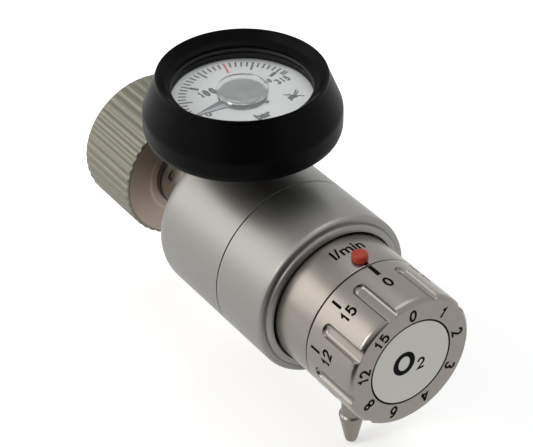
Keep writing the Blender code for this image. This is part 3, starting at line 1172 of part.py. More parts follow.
def make_gauge_case():
    ledge = dial_top - DIAL_LENGTH - GAP
    bore = GAUGE_NECK_RADIUS + GAP
    outline = [(case_bottom, bore), (case_bottom, CASE_RADIUS - CASE_EDGE),
               (case_bottom + CASE_EDGE, CASE_RADIUS), (case_top, CASE_RADIUS), (case_top, case_inner),
               (ledge, case_inner), (ledge, ledge_radius), (movement_floor, ledge_radius),
               (movement_floor, bore)]
    turned("gauge_case", gauge_axis, outline, case_black, VISIBLE)
    hole = arbor_radius + DIAL_HOLE_MARGIN
    dial_radius = case_inner - GAP
    dial = [(dial_top - DIAL_LENGTH, hole), (dial_top - DIAL_LENGTH, dial_radius), (dial_top, dial_radius),
            (dial_top, hole)]
    turned("gauge_dial", gauge_axis, dial, dial_white, VISIBLE)
    high = window_low + WINDOW_LENGTH
    rise = WINDOW_BOSS_HEIGHT
    boss = WINDOW_BOSS_SHARE * CASE_RADIUS
    window = [(window_low, 0), (window_low, CASE_RADIUS), (high, CASE_RADIUS), (high, boss),
              (high + rise * 0.5, boss), (high + rise * 0.8, boss * 0.7), (high + rise * 0.95, boss * 0.35),
              (high + rise, 0)]
    turned("gauge_window", gauge_axis, window, clear_plastic, VISIBLE)
    skirt = CASE_RADIUS + GAP
    edge = BEZEL_EDGE
    lip_low = bezel_top - BEZEL_LIP
    bezel = [(lip_low - BEZEL_SKIRT, skirt), (lip_low - BEZEL_SKIRT, bezel_radius),
             (bezel_top - edge, bezel_radius), (bezel_top, bezel_radius - edge),
             (bezel_top, bezel_sight_radius + edge), (bezel_top - edge, bezel_sight_radius),
             (lip_low, bezel_sight_radius), (lip_low, skirt)]
    turned("gauge_bezel", gauge_axis, bezel, case_black, VISIBLE)


def make_gauge_pointer():
    low = dial_top + POINTER_RISE
    high = low + POINTER_LENGTH
    root = math.degrees(POINTER_ROOT / pointer_hub_radius)
    outline = [polar(pointer_reach, 0.0)]
    outline += [polar(pointer_hub_radius, root + (346 - root) * k / 30) for k in range(31)]
    outline.insert(20, polar(pointer_hub_radius + POINTER_NOTCH, 226))
    turn = [Matrix.Rotation(math.radians(POINTER_ANGLE), 4, "Z")]
    shape = repeated_shape(prism_shape(outline, low, high), turn)
    pointer = place("gauge_pointer", shape, gauge_axis, pointer_grey)
    cap_low = high - POINTER_CAP_SINK
    cap_top = window_low - GAP
    bevel = POINTER_CAP_BEVEL
    cap = [(cap_low, 0), (cap_low, POINTER_CAP_RADIUS), (cap_top - bevel, POINTER_CAP_RADIUS),
           (cap_top, POINTER_CAP_RADIUS - bevel), (cap_top, 0)]
    join(pointer, turned("pointer_cap", gauge_axis, cap, None, COARSE))
    drill(pointer, "pointer_bore", gauge_axis, low - OVERCUT, spindle_top + RUNNING_GAP,
          arbor_radius + RUNNING_GAP, 12)


def make_gauge_boot():
    skirt = CASE_RADIUS + GAP
    step = bezel_top - BEZEL_LIP - BEZEL_SKIRT - GAP
    bottom = boot_bottom
    ceiling = bezel_top + GAP
    sight = boot_sight_radius
    edge = BOOT_EDGE
    corner = BOOT_CORNER
    rim = boot_top_radius - corner
    outline = [(bottom, GAUGE_FLANGE_RADIUS + GAP)]
    outline += arc(bottom + corner, boot_radius - corner, corner, 180, 90, 3)
    outline += [(boot_band_top - edge / 2, boot_radius), (boot_band_top + edge, boot_radius - edge / 2)]
    outline += arc(boot_top - corner, rim, corner, 90, 0, 3)
    outline += [(boot_top - edge / 3, boot_top_radius - BOOT_RIM)]
    outline += [(ceiling + 2 * edge, sight + edge / 2), (ceiling + 1.5 * edge, sight), (ceiling, sight)]
    outline += [(ceiling, bezel_radius + GAP), (step, bezel_radius + GAP), (step, skirt),
                (boot_floor, skirt), (boot_floor, GAUGE_FLANGE_RADIUS + GAP)]
    turned("gauge_boot", gauge_axis, outline, boot_rubber, VISIBLE)


make_hand_nut()
make_inlet()
make_core()
make_housings()
make_piston()
make_relief_valve()
make_flow_body()
make_chamber_cover()
make_orifice_disc()
make_flow_knob()
make_detent_and_pins()
make_hose_barb()
make_gauge_socket()
make_bourdon_tube()
make_pointer_spindle()
make_sector_gear()
make_movement_plates()
make_gauge_case()
make_gauge_pointer()
make_gauge_boot()
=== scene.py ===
import json
import math

import bmesh
import bpy
import numpy as np
from mathutils import Matrix, Vector


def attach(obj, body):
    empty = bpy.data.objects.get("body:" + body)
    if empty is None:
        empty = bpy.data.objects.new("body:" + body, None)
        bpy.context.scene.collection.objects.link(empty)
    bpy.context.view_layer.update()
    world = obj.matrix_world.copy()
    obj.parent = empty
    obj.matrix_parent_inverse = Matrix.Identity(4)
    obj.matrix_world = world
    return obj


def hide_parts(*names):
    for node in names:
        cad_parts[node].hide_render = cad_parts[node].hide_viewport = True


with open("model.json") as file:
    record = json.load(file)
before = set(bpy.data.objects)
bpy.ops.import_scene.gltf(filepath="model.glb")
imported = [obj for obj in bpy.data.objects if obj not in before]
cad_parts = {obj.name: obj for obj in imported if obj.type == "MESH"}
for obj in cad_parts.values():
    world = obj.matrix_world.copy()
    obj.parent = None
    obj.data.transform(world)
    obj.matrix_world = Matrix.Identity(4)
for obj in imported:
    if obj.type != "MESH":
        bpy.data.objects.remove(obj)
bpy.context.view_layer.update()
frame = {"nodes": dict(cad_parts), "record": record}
cadNodes = frame["nodes"]
mm = 0.001

for old in [o for o in bpy.data.objects if o.type in ("CAMERA", "LIGHT")]:
    bpy.data.objects.remove(old)


# Colours and nodes
def linear(hexText):
    parts = [int(hexText[k:k + 2], 16) / 255 for k in (1, 3, 5)]
    return tuple(c / 12.92 if c <= 0.04045 else ((c + 0.055) / 1.055) ** 2.4 for c in parts) + (1.0,)


def addNode(tree, kind, settings=None, links=None):
    node = tree.nodes.new(kind)
    for key, value in (settings or {}).items():
        if isinstance(key, int) or key in node.inputs:
            node.inputs[key].default_value = value
        else:
            setattr(node, key, value)
    for key, source in (links or {}).items():
        tree.links.new(source, node.inputs[key])
    return node


def newMaterial(name, settings):
    material = bpy.data.materials.new(name)
    material.use_nodes = True
    shader = material.node_tree.nodes["Principled BSDF"]
    for key, value in settings.items():
        shader.inputs[key].default_value = value
    return material, material.node_tree, shader


# Fine marks left by the tool or the blasting: the noise is stretched by the scale of each axis, in cycles
# a millimetre, and moves both the roughness and the height a little.
def surfaceMarks(tree, shader, cycles, roughness, bumpMm, detail=3.0):
    place = addNode(tree, "ShaderNodeTexCoord")
    stretch = addNode(tree, "ShaderNodeMapping", {"Scale": [c / mm for c in cycles]},
                      {"Vector": place.outputs["Object"]})
    grain = addNode(tree, "ShaderNodeTexNoise", {"Scale": 1.0, "Detail": detail},
                    {"Vector": stretch.outputs["Vector"]})
    spread = addNode(tree, "ShaderNodeMapRange", {"To Min": roughness[0], "To Max": roughness[1]},
                     {"Value": grain.outputs["Fac"]})
    tree.links.new(spread.outputs["Result"], shader.inputs["Roughness"])
    relief = addNode(tree, "ShaderNodeBump", {"Strength": 1.0, "Distance": bumpMm * mm},
                     {"Height": grain.outputs["Fac"]})
    tree.links.new(relief.outputs["Normal"], shader.inputs["Normal"])


colours = {
    "housing": "#878683", "knob": "#847F7A", "nut": "#757469", "nutFaceWarmReflection": "#A09288",
    "core": "#8A847B", "brass": "#B8934F", "boot": "#040405", "dial": "#B5B7B7",
    "disc": "#B2B0AB", "red": "#9A3420", "ink": "#030304", "redInk": "#AE1F3D",
    "steel": "#B3B4B6", "bronze": "#8A6A45", "seal": "#1B1B1C", "nylon": "#E3DFCF",
    "case": "#101113", "pointer": "#2E2F31", "pointerLitFacet": "#8C8E95", "clear": "#FBFCFC",
    "frosted": "#EEF0F0",
}
finish = {}


# A material of that colour whose roughness and height carry fine marks
def addFinish(key, name, settings, cycles, roughness, bumpMm, detail=3.0):
    material, tree, shader = newMaterial(name, {"Base Color": linear(colours[key]), **settings})
    surfaceMarks(tree, shader, cycles, roughness, bumpMm, detail)
    finish[key] = material
    return tree, shader


def makeFinishes():
    # Satin nickel over fine turning: a soft sheen drawn out round the sleeve by lines along Y
    addFinish("housing", "satinNickelTurned", {"Metallic": 1.0}, (0.12, 3.0, 0.12), (0.40, 0.47), 0.0012)
    # Pearl nickel over fine bead blasting: an even, slightly warm, silky grey
    addFinish("knob", "pearlNickelBlasted", {"Metallic": 1.0}, (1.6, 1.6, 1.6), (0.27, 0.33), 0.0010)
    addFinish("nut", "satinNickelFluted", {"Metallic": 1.0}, (1.2, 0.5, 1.2), (0.44, 0.54), 0.0014)
    # The nut's end face is turned, not blasted. Its lighter, warmer grey than the flutes' is painted
    # reflection of the warm housing in front of it
    addFinish("nutFaceWarmReflection", "satinNickelEndFacePaintedReflection", {"Metallic": 1.0}, (0.15, 0.15, 0.15), (0.38, 0.46), 0.0010)
    addFinish("core", "satinNickelNeck", {"Metallic": 1.0}, (0.2, 2.5, 0.2), (0.24, 0.34), 0.0012)
    # Free-cutting brass as turned: warm yellow with rings from the tool
    addFinish("brass", "turnedBrass", {"Metallic": 1.0}, (0.8, 1.8, 1.8), (0.22, 0.34), 0.0012)
    addFinish("steel", "springSteel", {"Metallic": 1.0}, (2.0, 2.0, 2.0), (0.20, 0.32), 0.0006)
    # Sintered bronze: brown grains of about 0.3 mm, dull
    addFinish("bronze", "sinteredBronze", {"Metallic": 1.0}, (3.0, 3.0, 3.0), (0.55, 0.8), 0.06, 1.0)
    # Moulded rubber of the boot: black with a fine spark-eroded grain and a faint sheen
    addFinish("boot", "mouldedBootRubber", {"Specular IOR Level": 0.045},
              (2.5, 2.5, 2.5), (0.34, 0.44), 0.004)
    addFinish("seal", "nitrileSeal", {"IOR": 1.52}, (1.5, 1.5, 1.5), (0.40, 0.50), 0.002)
    addFinish("nylon", "sealingNylon", {
        "IOR": 1.53, "Subsurface Weight": 0.1, "Subsurface Radius": (0.002, 0.0018, 0.0014)},
        (0.8, 0.8, 0.8), (0.38, 0.46), 0.001)
    # Black ABS of the gauge's case and bezel, satin from the mould
    addFinish("case", "satinBlackAbs", {"Specular IOR Level": 0.3}, (1.5, 1.5, 1.5), (0.36, 0.46), 0.002)
    # White lacquer on the aluminium dial, matt so that the ink reads
    addFinish("dial", "dialWhiteLacquer", {}, (1.0, 1.0, 1.0), (0.55, 0.62), 0.0006)
    addFinish("pointer", "pointerGreyPaint", {}, (1.5, 1.5, 1.5), (0.42, 0.52), 0.0008)
    # A lighter grey for the pointer's folded facet: painted highlight
    addFinish("pointerLitFacet", "pointerLitFacetPaint", {"Metallic": 0.7}, (1.5, 1.5, 1.5), (0.40, 0.48), 0.0006)
    # Anodised label disc: matt silver-grey, cooler than the knob
    addFinish("disc", "anodisedLabelDisc", {"Metallic": 0.6}, (1.5, 0.5, 1.5), (0.44, 0.50), 0.0004)
    addFinish("red", "redEnamel", {"Specular IOR Level": 0.25}, (1.0, 1.0, 1.0), (0.40, 0.48), 0.002)
    addFinish("ink", "blackInkFill", {"Specular IOR Level": 0.03}, (1.5, 1.5, 1.5), (0.42, 0.52), 0.0004)
    addFinish("redInk", "redDialInk", {"Specular IOR Level": 0.1}, (1.5, 1.5, 1.5), (0.5, 0.58), 0.0004)
    # Moulded polycarbonate window, clear and polished
    clear, tree, shader = newMaterial("clearPolycarbonate", {
        "Base Color": linear(colours["clear"]), "Roughness": 0.01, "IOR": 1.58, "Transmission Weight": 1.0,
        "Specular IOR Level": 0.05})
    shadowPass(tree, shader)
    finish["clear"] = clear
    # The dome over the pointer's hub is blasted in the mould: it blurs what is under it
    tree, shader = addFinish("frosted", "frostedPolycarbonate", {
        "IOR": 1.5, "Transmission Weight": 0.93, "Specular IOR Level": 0.4},
        (3.0, 3.0, 3.0), (0.12, 0.18), 0.001)
    shadowPass(tree, shader)


# Light reaches the dial through the window: shadow rays pass it as through clear plastic.
def shadowPass(tree, shader):
    path = addNode(tree, "ShaderNodeLightPath")
    passing = addNode(tree, "ShaderNodeBsdfTransparent", {"Color": (0.94, 0.95, 0.95, 1.0)})
    choice = addNode(tree, "ShaderNodeMixShader", None, {
        0: path.outputs["Is Shadow Ray"], 1: shader.outputs["BSDF"], 2: passing.outputs["BSDF"]})
    output = next(n for n in tree.nodes if n.type == "OUTPUT_MATERIAL")
    tree.links.new(choice.outputs["Shader"], output.inputs["Surface"])


makeFinishes()
print("finishes made:", len(finish))

gaugePlace = 64.6
barbPlace = 125.4


# Axes: each turns (radius, angle, place along the axis) in mm into points in metres
def onMain(radius, angle, along):
    return np.stack([radius * np.cos(angle), -along, radius * np.sin(angle)], axis=-1) * mm


# An axis upright at that place along the main one. It counts upwards, or downwards where the sign is -1.
def uprightAxis(place, sign=1):
    def turned(radius, angle, along):
        y = -place + radius * np.sin(angle)
        return np.stack([radius * np.cos(angle), y, sign * along], axis=-1) * mm
    return turned


onGauge = uprightAxis(gaugePlace)
onBarb = uprightAxis(barbPlace, -1)


def addObject(name, data):
    item = bpy.data.objects.new(name, data)
    bpy.context.scene.collection.objects.link(item)
    return item


# Corners (along, radius, round) become a line whose corners are parabolas between the points that lie
# the round's length before and after each corner.
def roundedLine(corners, steps=6, closed=True):
    spots = np.array([c[:2] for c in corners], float)
    rounds = [c[2] if len(c) > 2 else 0.0 for c in corners]
    line = []
    for k, size in enumerate(rounds):
        here = spots[k]
        if size == 0 or (not closed and k in (0, len(corners) - 1)):
            line.append(here[None])
            continue
        before = spots[k - 1] - here
        after = spots[(k + 1) % len(spots)] - here
        first = here + before * min(size / np.linalg.norm(before), 0.499)
        last = here + after * min(size / np.linalg.norm(after), 0.499)
        t = np.linspace(0, 1, steps + 1)[:, None]
        line.append((1 - t) ** 2 * first + 2 * t * (1 - t) * here + t ** 2 * last)
    return np.concatenate(line)


# A grid of points, rows by columns, becomes quads. Columns close into a ring, rows where asked.
def gridMesh(name, points, closeRows=True, sharpDegrees=32):
    rows, columns = points.shape[:2]
    lastRow = rows if closeRows else rows - 1
    r, c = np.meshgrid(np.arange(lastRow), np.arange(columns), indexing="ij")
    r2 = (r + 1) % rows
    c2 = (c + 1) % columns
    quads = np.stack([r * columns + c, r * columns + c2, r2 * columns + c2, r2 * columns + c], axis=-1)
    mesh = bpy.data.meshes.new(name)
    mesh.from_pydata(points.reshape(-1, 3), [], quads.reshape(-1, 4))
    tidy = bmesh.new()
    tidy.from_mesh(mesh)
    bmesh.ops.remove_doubles(tidy, verts=tidy.verts, dist=1e-7)
    if closeRows or np.allclose(points[0], points[0][0], atol=1e-8):
        bmesh.ops.recalc_face_normals(tidy, faces=tidy.faces)
    tidy.to_mesh(mesh)
    tidy.free()
    mesh.shade_smooth()
    mesh.set_sharp_from_angle(angle=math.radians(sharpDegrees))
    return addObject(name, mesh)


# A piece gets its material and the body it rides, and the nodes it stands for, if any, are hidden. The slot's
# name is not used.
def dress(piece, material, body, slotName, *nodes):
    piece.data.materials.clear()
    piece.data.materials.append(material)
    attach(piece, body)
    if nodes:
        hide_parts(*nodes)


# A turned piece: radius and place follow the rounded line, and the angle goes once round.
def turnedPiece(name, corners, axis, segments=256, closed=True, steps=6):
    line = roundedLine(corners, steps, closed)
    angle = np.linspace(0, math.tau, segments, endpoint=False)
    radius, around = np.meshgrid(line[:, 1], angle, indexing="ij")
    along = np.repeat(line[:, :1], segments, axis=1)
    return gridMesh(name, axis(radius, around, along), closeRows=closed)


# The lower of two surfaces, with the edge between them rounded over that width
def softMin(a, b, width):
    h = np.clip(0.5 + 0.5 * (b - a) / width, 0, 1)
    return b * (1 - h) + a * h - width * h * (1 - h)


# Hand nut
nut = {
    "length": 28.6, "radius": 24.9, "bevel": 1.0, "flutes": 45, "depth": 0.55, "share": 0.33,
    "firstFlute": 171.0, "fluteEdge": 0.10, "bossRadius": 14.8, "bossFoot": 0.9, "bossHeight": 0.3,
    "faceRadius": 23.7, "faceRise": 0.02, "faceSunk": 0.3, "boreRadius": 8.7, "boreGap": 0.2,
    "gripDepth": 3, "threadRadius": 12.06, "threadStart": 0.9, "shoulder": 17.2, "threadPitch": 1.81,
    "threadDepth": 0.75, "threadRoot": 0.15, "threadCrest": 0.8, "threadWall": 1.6, "threadMouth": 0.02,
    "threadRows": 110, "threadSegments": 144, "segments": 720,
}


# The flutes: the radius is the bevelled outline's, or the scooped grip's where that is smaller. Each
# scoop is a parabola across its share of the pitch.
def makeNut():
    p = nut
    front = p["length"]
    bossTop = front + p["bossHeight"]
    bossFoot = p["bossRadius"] + p["bossFoot"]
    line = roundedLine([
        (0, p["threadRadius"] + 0.9, 0.2), (0, p["radius"] - p["bevel"], 0.7),
        (p["bevel"], p["radius"], 0.5), (front - p["bevel"] * 0.5, p["radius"], 0.3),
        (front, p["radius"] - p["bevel"] * 0.6, 0.3), (front, bossFoot, 0.4),
        (bossTop, p["bossRadius"], 0.4), (bossTop, p["boreRadius"], 0.1),
        (p["shoulder"], p["boreRadius"]), (p["shoulder"], p["threadRadius"] + 0.4)])
    angle = np.linspace(0, math.tau, p["segments"], endpoint=False)
    radius, around = np.meshgrid(line[:, 1], angle, indexing="ij")
    pitch = math.tau / p["flutes"]
    across = (around - math.radians(p["firstFlute"])) / pitch
    across = across - np.round(across)
    scoop = np.clip(1 - (across / p["share"]) ** 2, 0, 1)
    fluted = softMin(radius, p["radius"] - p["depth"] * scoop, p["fluteEdge"])
    radius = np.where(radius > p["radius"] - p["gripDepth"], fluted, radius)
    along = np.repeat(line[:, :1], p["segments"], axis=1)
    piece = gridMesh("nut_grip", onMain(radius, around, along), sharpDegrees=40)
    dress(piece, finish["nut"], "nut", "nut_metal", "hand_nut")
    # The turned end face, a hair proud of the nut's own and inside the flutes' feet
    bore = p["boreRadius"] + p["boreGap"]
    sunk = front - p["faceSunk"]
    face = front + p["faceRise"]
    faceTop = bossTop + p["faceRise"]
    endFace = turnedPiece("nut_end_face", [
        (sunk, bore), (sunk, p["faceRadius"]), (face, p["faceRadius"], 0.05), (face, bossFoot, 0.4),
        (faceTop, p["bossRadius"], 0.4), (faceTop, bore, 0.1)], onMain)
    # The end face's colour is painted reflection of the housing before it
    dress(endFace, finish["nutFaceWarmReflection"], "nut", "nut_metal")
    # The thread: the radius waves with the place along the axis, less one pitch for each turn
    places = np.linspace(p["threadStart"], p["shoulder"], p["threadRows"])
    angle = np.linspace(0, math.tau, p["threadSegments"] + 1)[:-1]
    around, along = np.meshgrid(angle, places)
    phase = along / p["threadPitch"] - around / math.tau
    wave = np.abs(phase - np.round(phase)) * 2
    radius = p["threadRadius"] + p["threadDepth"] * (wave - p["threadRoot"]).clip(0, p["threadCrest"])
    edge = np.full((1, p["threadSegments"]), p["threadRadius"] + p["threadWall"])
    radius = np.concatenate([edge, radius, edge])
    along = np.concatenate([np.full_like(along[:1], p["threadMouth"]), along, along[-1:]])
    around = np.concatenate([around[:1], around, around[:1]])
    thread = gridMesh("nut_thread", onMain(radius, around, along), sharpDegrees=50)
    dress(thread, finish["nut"], "nut", "nut_metal")


makeNut()
print("hand nut made")

# Neck of the core with its two spanner slots, the washer before it, and the stem
neck = {"radius": 12.03, "inner": 8.8, "start": 29.75, "end": 56.0, "startBevel": 0.2, "slotPlace": 34.7,
        "slotLength": 2.8, "slotHalf": 8.2, "slotDepth": 1.2, "slotAngle": 150, "wallAlong": 0.12,
        "wallAround": 0.7, "rows": 30, "denseHalf": 2.2, "denseRows": 90, "segments": 720}


# The neck's radius drops by the slot's depth where both the place and the angle lie inside a slot.
def makeNeck():
    p = neck
    slotLow = p["slotPlace"] - p["denseHalf"]
    slotHigh = p["slotPlace"] + p["denseHalf"]
    s = np.unique(np.concatenate([np.linspace(p["start"], p["end"], p["rows"]),
                                  np.linspace(slotLow, slotHigh, p["denseRows"])]))
    angle = np.linspace(0, math.tau, p["segments"], endpoint=False)
    along, around = np.meshgrid(s, angle, indexing="ij")
    turn = np.degrees(around) - p["slotAngle"]
    turn = np.abs(turn - 180 * np.round(turn / 180))
    edgeAlong = (p["slotLength"] / 2 - np.abs(along - p["slotPlace"])) / p["wallAlong"]
    edgeAround = (p["slotHalf"] - turn) / p["wallAround"]
    inside = np.clip(np.minimum(edgeAlong, edgeAround) + 0.5, 0, 1)
    radius = p["radius"] - p["slotDepth"] * inside
    radius = np.minimum(radius, p["radius"] - p["startBevel"] + (along - p["start"]))
    inner = np.full((1, p["segments"]), p["inner"])
    radius = np.concatenate([inner, radius, inner])
    along = np.concatenate([along[:1], along, along[-1:]])
    around = np.concatenate([around[:1], around, around[:1]])
    piece = gridMesh("neck_sleeve", onMain(radius, around, along), sharpDegrees=30)
    dress(piece, finish["core"], "regulator", "core_metal")


makeNeck()
washer = turnedPiece("neck_washer_ring", [
    (29.1, 8.7), (29.1, 12.5, 0.1), (29.7, 12.5, 0.1), (29.7, 8.7)], onMain, 128)
dress(washer, finish["seal"], "regulator", "seal_rubber", "neck_washer")
stem = turnedPiece("stem_nose", [
    (5.5, 3.5), (5.5, 6.9, 0.5), (6.5, 7.9, 0.4), (7.3, 7.9), (7.3, 5.8), (9.8, 5.8), (9.8, 7.9, 0.1),
    (14.0, 7.9), (14.0, 11.5, 0.3), (17.0, 11.5, 0.2), (17.0, 8.4), (42.4, 8.4), (42.4, 2.2),
    (16.0, 2.2), (16.0, 3.5)], onMain, 128)
dress(stem, finish["brass"], "regulator", "inner_brass", "inlet_stem")

# The stem's O-ring, a circle of 24 sides turned round the axis
stemRing = {"place": 8.55, "radius": 7.3, "cord": 0.95}
ringTurn = np.linspace(0, math.tau, 25)[:-1]
ring = turnedPiece("stem_o_ring", [
    (stemRing["place"] + stemRing["cord"] * math.sin(t), stemRing["radius"] + stemRing["cord"] * math.cos(t))
    for t in ringTurn], onMain, 128)
dress(ring, finish["seal"], "regulator", "seal_rubber", "inlet_o_ring")
print("neck and stem made")

# Housing sleeves
sleeves = {"radius": 29.0, "inner": 26.5, "start": 53.0, "rearRound": 5.0, "floor": 56.0, "seam": 90.1,
           "front": 115.45, "frontRound": 1.9, "holeRadius": 12.3, "openRadius": 23.95, "seamGap": 0.42,
           "seamBevel": 0.12, "crest": 114.1, "grooveRadius": 26.75, "collarRadius": 26.35,
           "ledge": 112.0}


def makeSleeves():
    p = sleeves
    half = p["seamGap"] / 2
    rear = turnedPiece("rear_sleeve", [
        (p["start"], p["holeRadius"], 0.2), (p["start"], p["radius"], p["rearRound"] * 1.25),
        (p["seam"] - half, p["radius"], p["seamBevel"]), (p["seam"] - half, 26.3), (92.4, 26.3),
        (92.4, 25.0), (87.7, 25.0), (86.5, p["inner"]), (58.5, p["inner"], 1.5), (p["floor"], 24.0, 1.5),
        (p["floor"], p["holeRadius"])], onMain, steps=16)
    dress(rear, finish["housing"], "regulator", "housing_metal", "rear_housing")
    opening = p["openRadius"]
    front = turnedPiece("front_sleeve", [
        (p["seam"] + half, p["inner"]), (p["seam"] + half, p["radius"], p["seamBevel"]),
        (p["crest"], p["radius"], p["frontRound"]), (p["crest"], p["grooveRadius"], 0.25),
        (p["crest"] - 0.15, p["collarRadius"] + 0.1, 0.2),
        (p["crest"] + 0.8, p["collarRadius"] - 0.1, 0.6), (p["front"] - 0.1, opening + 1.2, 0.4),
        (p["front"], opening + 0.25, 0.15), (p["front"] - 0.3, opening, 0.1), (p["ledge"], opening),
        (p["ledge"], p["inner"])], onMain, steps=12)
    dress(front, finish["housing"], "regulator", "housing_metal", "front_housing")


makeSleeves()
print("housing sleeves made")

# Indicator ring: the shown part of the flow body, and its inner end
indicator = {"radius": 23.5, "start": 94.0, "end": 131.6, "edge": 0.35, "flangeRadius": 26.2,
             "flangeEnd": 111.7}


def makeIndicator():
    p = indicator
    piece = turnedPiece("indicator_ring", [
        (p["start"], 0), (p["start"], 14.2, 0.2), (100.3, 14.2), (100.3, p["flangeRadius"]),
        (p["flangeEnd"], p["flangeRadius"]), (p["flangeEnd"], p["radius"]),
        (p["end"], p["radius"], p["edge"]), (p["end"], 17.0), (127.5, 17.0), (127.5, 16.0),
        (118.0, 16.0), (118.0, 2.3), (114.5, 2.3), (114.5, 0)], onMain, closed=False)
    dress(piece, finish["knob"], "regulator", "knob_metal", "flow_body")


makeIndicator()

# Flow knob
knob = {"radius": 23.5, "innerRadius": 16.0, "start": 131.95, "sideEnd": 151.8, "face": 154.6, "steps": 9,
        "slotCentre": 110, "slotHalf": 2.3, "slotDepth": 1.3, "slotNose": 138.8, "wallPower": 0.55,
        "wallRise": 3, "labelFloor": 153.8, "labelRadius": 15.0, "labelGap": 0.56, "edge": 0.11,
        "sideRows": 60, "noseLow": 2.6, "noseHigh": 0.4, "noseRows": 46, "columns": 62, "bunching": 0.135}


# A slot's depth at the distance u, in half widths, from its middle line is (1 - u^4)^wallPower of the full
# depth: a nearly flat trough between steep walls. Round the nose the distance is taken from the line's end.
# The columns of points stand closer together near the slots.
def makeKnob():
    p = knob
    face = p["face"]
    wellRadius = p["labelRadius"] + p["labelGap"]
    noseRows = np.linspace(p["slotNose"] - p["noseLow"], p["slotNose"] + p["noseHigh"], p["noseRows"])
    sideRows = np.unique(np.concatenate([
        np.linspace(p["start"] + 1.2, p["sideEnd"], p["sideRows"]), noseRows]))
    corners = [(p["start"], p["innerRadius"]), (p["start"], p["radius"], 0.35)]
    corners += [(s, p["radius"]) for s in sideRows]
    corners += [(152.5, p["radius"], 0.35), (153.4, 23.3, 0.4), (154.2, 22.65, 0.3), (face, 22.1, 0.28),
                (face, wellRadius, 0.12), (p["labelFloor"], wellRadius), (p["labelFloor"], 4.3),
                (149.9, 4.3), (149.9, 7.4), (139.6, 7.4), (139.6, p["innerRadius"])]
    line = roundedLine(corners, 7)
    sector = math.tau / p["steps"]
    centre = math.radians(p["slotCentre"])
    share = np.linspace(-0.5, 0.5, p["columns"], endpoint=False)
    bunched = share - p["bunching"] * np.sin(math.tau * share)
    angle = np.concatenate([centre + sector * (k + bunched) for k in range(p["steps"])])
    radius, around = np.meshgrid(line[:, 1], angle, indexing="ij")
    along = np.repeat(line[:, :1], len(angle), axis=1)
    offset = (around - centre) / sector
    offset = (offset - np.round(offset)) * sector
    distance = np.hypot(p["radius"] * np.sin(offset), np.maximum(p["slotNose"] - along, 0)) / p["slotHalf"]
    cutAt = p["radius"] - p["slotDepth"] * (1 - distance.clip(0, 1) ** 4) ** p["wallPower"]
    cutAt = np.where(distance < 1, cutAt, p["radius"] + p["wallRise"] * (distance - 1))
    outside = (radius > p["labelRadius"] + 2) & (along > p["start"] + 1)
    radius = np.where(outside, softMin(radius, cutAt, p["edge"]), radius)
    piece = gridMesh("knob_grip", onMain(radius, around, along), sharpDegrees=38)
    dress(piece, finish["knob"], "selector", "knob_metal", "flow_knob")


makeKnob()

# Label disc, and the black ink that fills the gap round it; the ring's outer part is painted shade of the
# narrow recess
label = {"low": 153.85, "top": 154.55, "radius": 14.95, "inkLow": 154.0, "inkTop": 154.5, "inkInner": 14.97,
         "inkAndShadeOuter": 15.56}


def makeLabel():
    p = label
    disc = turnedPiece("label_disc", [
        (p["low"], 0), (p["low"], p["radius"], 0.1), (p["top"], p["radius"], 0.12), (p["top"], 0)],
        onMain, closed=False)
    dress(disc, finish["disc"], "selector", "label_grey", "knob_label_disc")
    # The black ring is partly ink and partly painted shade: its outer edge stands in for the shadow in the
    # recess round the disc
    inkAndShadeRing = turnedPiece("label_ring", [
        (p["inkLow"], p["inkInner"]), (p["inkTop"], p["inkInner"]), (p["inkTop"], p["inkAndShadeOuter"]),
        (p["inkLow"], p["inkAndShadeOuter"])], onMain)
    dress(inkAndShadeRing, finish["ink"], "selector", "knob_metal")


makeLabel()
print("flow knob made")


# Marks. Flat shapes have x to the right, y up and z out of the surface, in mm, and each place bends them
# onto the surface that carries them.
def onKnobSide(angleDegrees, along):
    def bend(flat):
        angle = math.radians(angleDegrees) - flat[:, 0] / knob["radius"]
        return onMain(knob["radius"] + flat[:, 2], angle, along - flat[:, 1])
    return bend


def onKnobFace(angleDegrees, radius):
    up = np.array([math.cos(math.radians(angleDegrees)), math.sin(math.radians(angleDegrees))])
    right = np.array([up[1], -up[0]])

    def bend(flat):
        spot = up * radius + flat[:, :1] * right + flat[:, 1:2] * up
        return np.stack([spot[:, 0], -(knob["face"] + flat[:, 2]), spot[:, 1]], axis=-1) * mm
    return bend


def onLabel(x, z):
    def bend(flat):
        return np.stack([x + flat[:, 0], -(label["top"] + flat[:, 2]), z + flat[:, 1]], axis=-1) * mm
    return bend


def onDial(x, y, turnDegrees=0.0):
    c = math.cos(math.radians(turnDegrees))
    n = math.sin(math.radians(turnDegrees))

    def bend(flat):
        right = x + c * flat[:, 0] - n * flat[:, 1]
        up = -gaugePlace + y + n * flat[:, 0] + c * flat[:, 1]
        return np.stack([right, up, gauge["dialLevel"] + flat[:, 2]], axis=-1) * mm
    return bend


# Longer edges than cutLength are cut, so that a mark follows the knob's round side. On the flat dial none is.
markThickness = 0.03
cutLength = 0.7
uncut = 99
cutRounds = 4
# The height of the built-in font's capitals, as a share of its size
capitalShare = 0.729


# A flat shape is cut where its edges are long, and then bent into its place.
def meshFromFlat(name, source, bend, longest):
    bmesh.ops.triangulate(source, faces=source.faces)
    for _ in range(cutRounds):
        longEdges = [e for e in source.edges if e.calc_length() > longest]
        if not longEdges:
            break
        bmesh.ops.subdivide_edges(source, edges=longEdges, cuts=1)
        bmesh.ops.triangulate(source, faces=source.faces)
    flat = np.array([v.co for v in source.verts])
    for vert, co in zip(source.verts, bend(flat)):
        vert.co = co
    bmesh.ops.recalc_face_normals(source, faces=source.faces)
    mesh = bpy.data.meshes.new(name)
    source.to_mesh(mesh)
    source.free()
    return addObject(name, mesh)


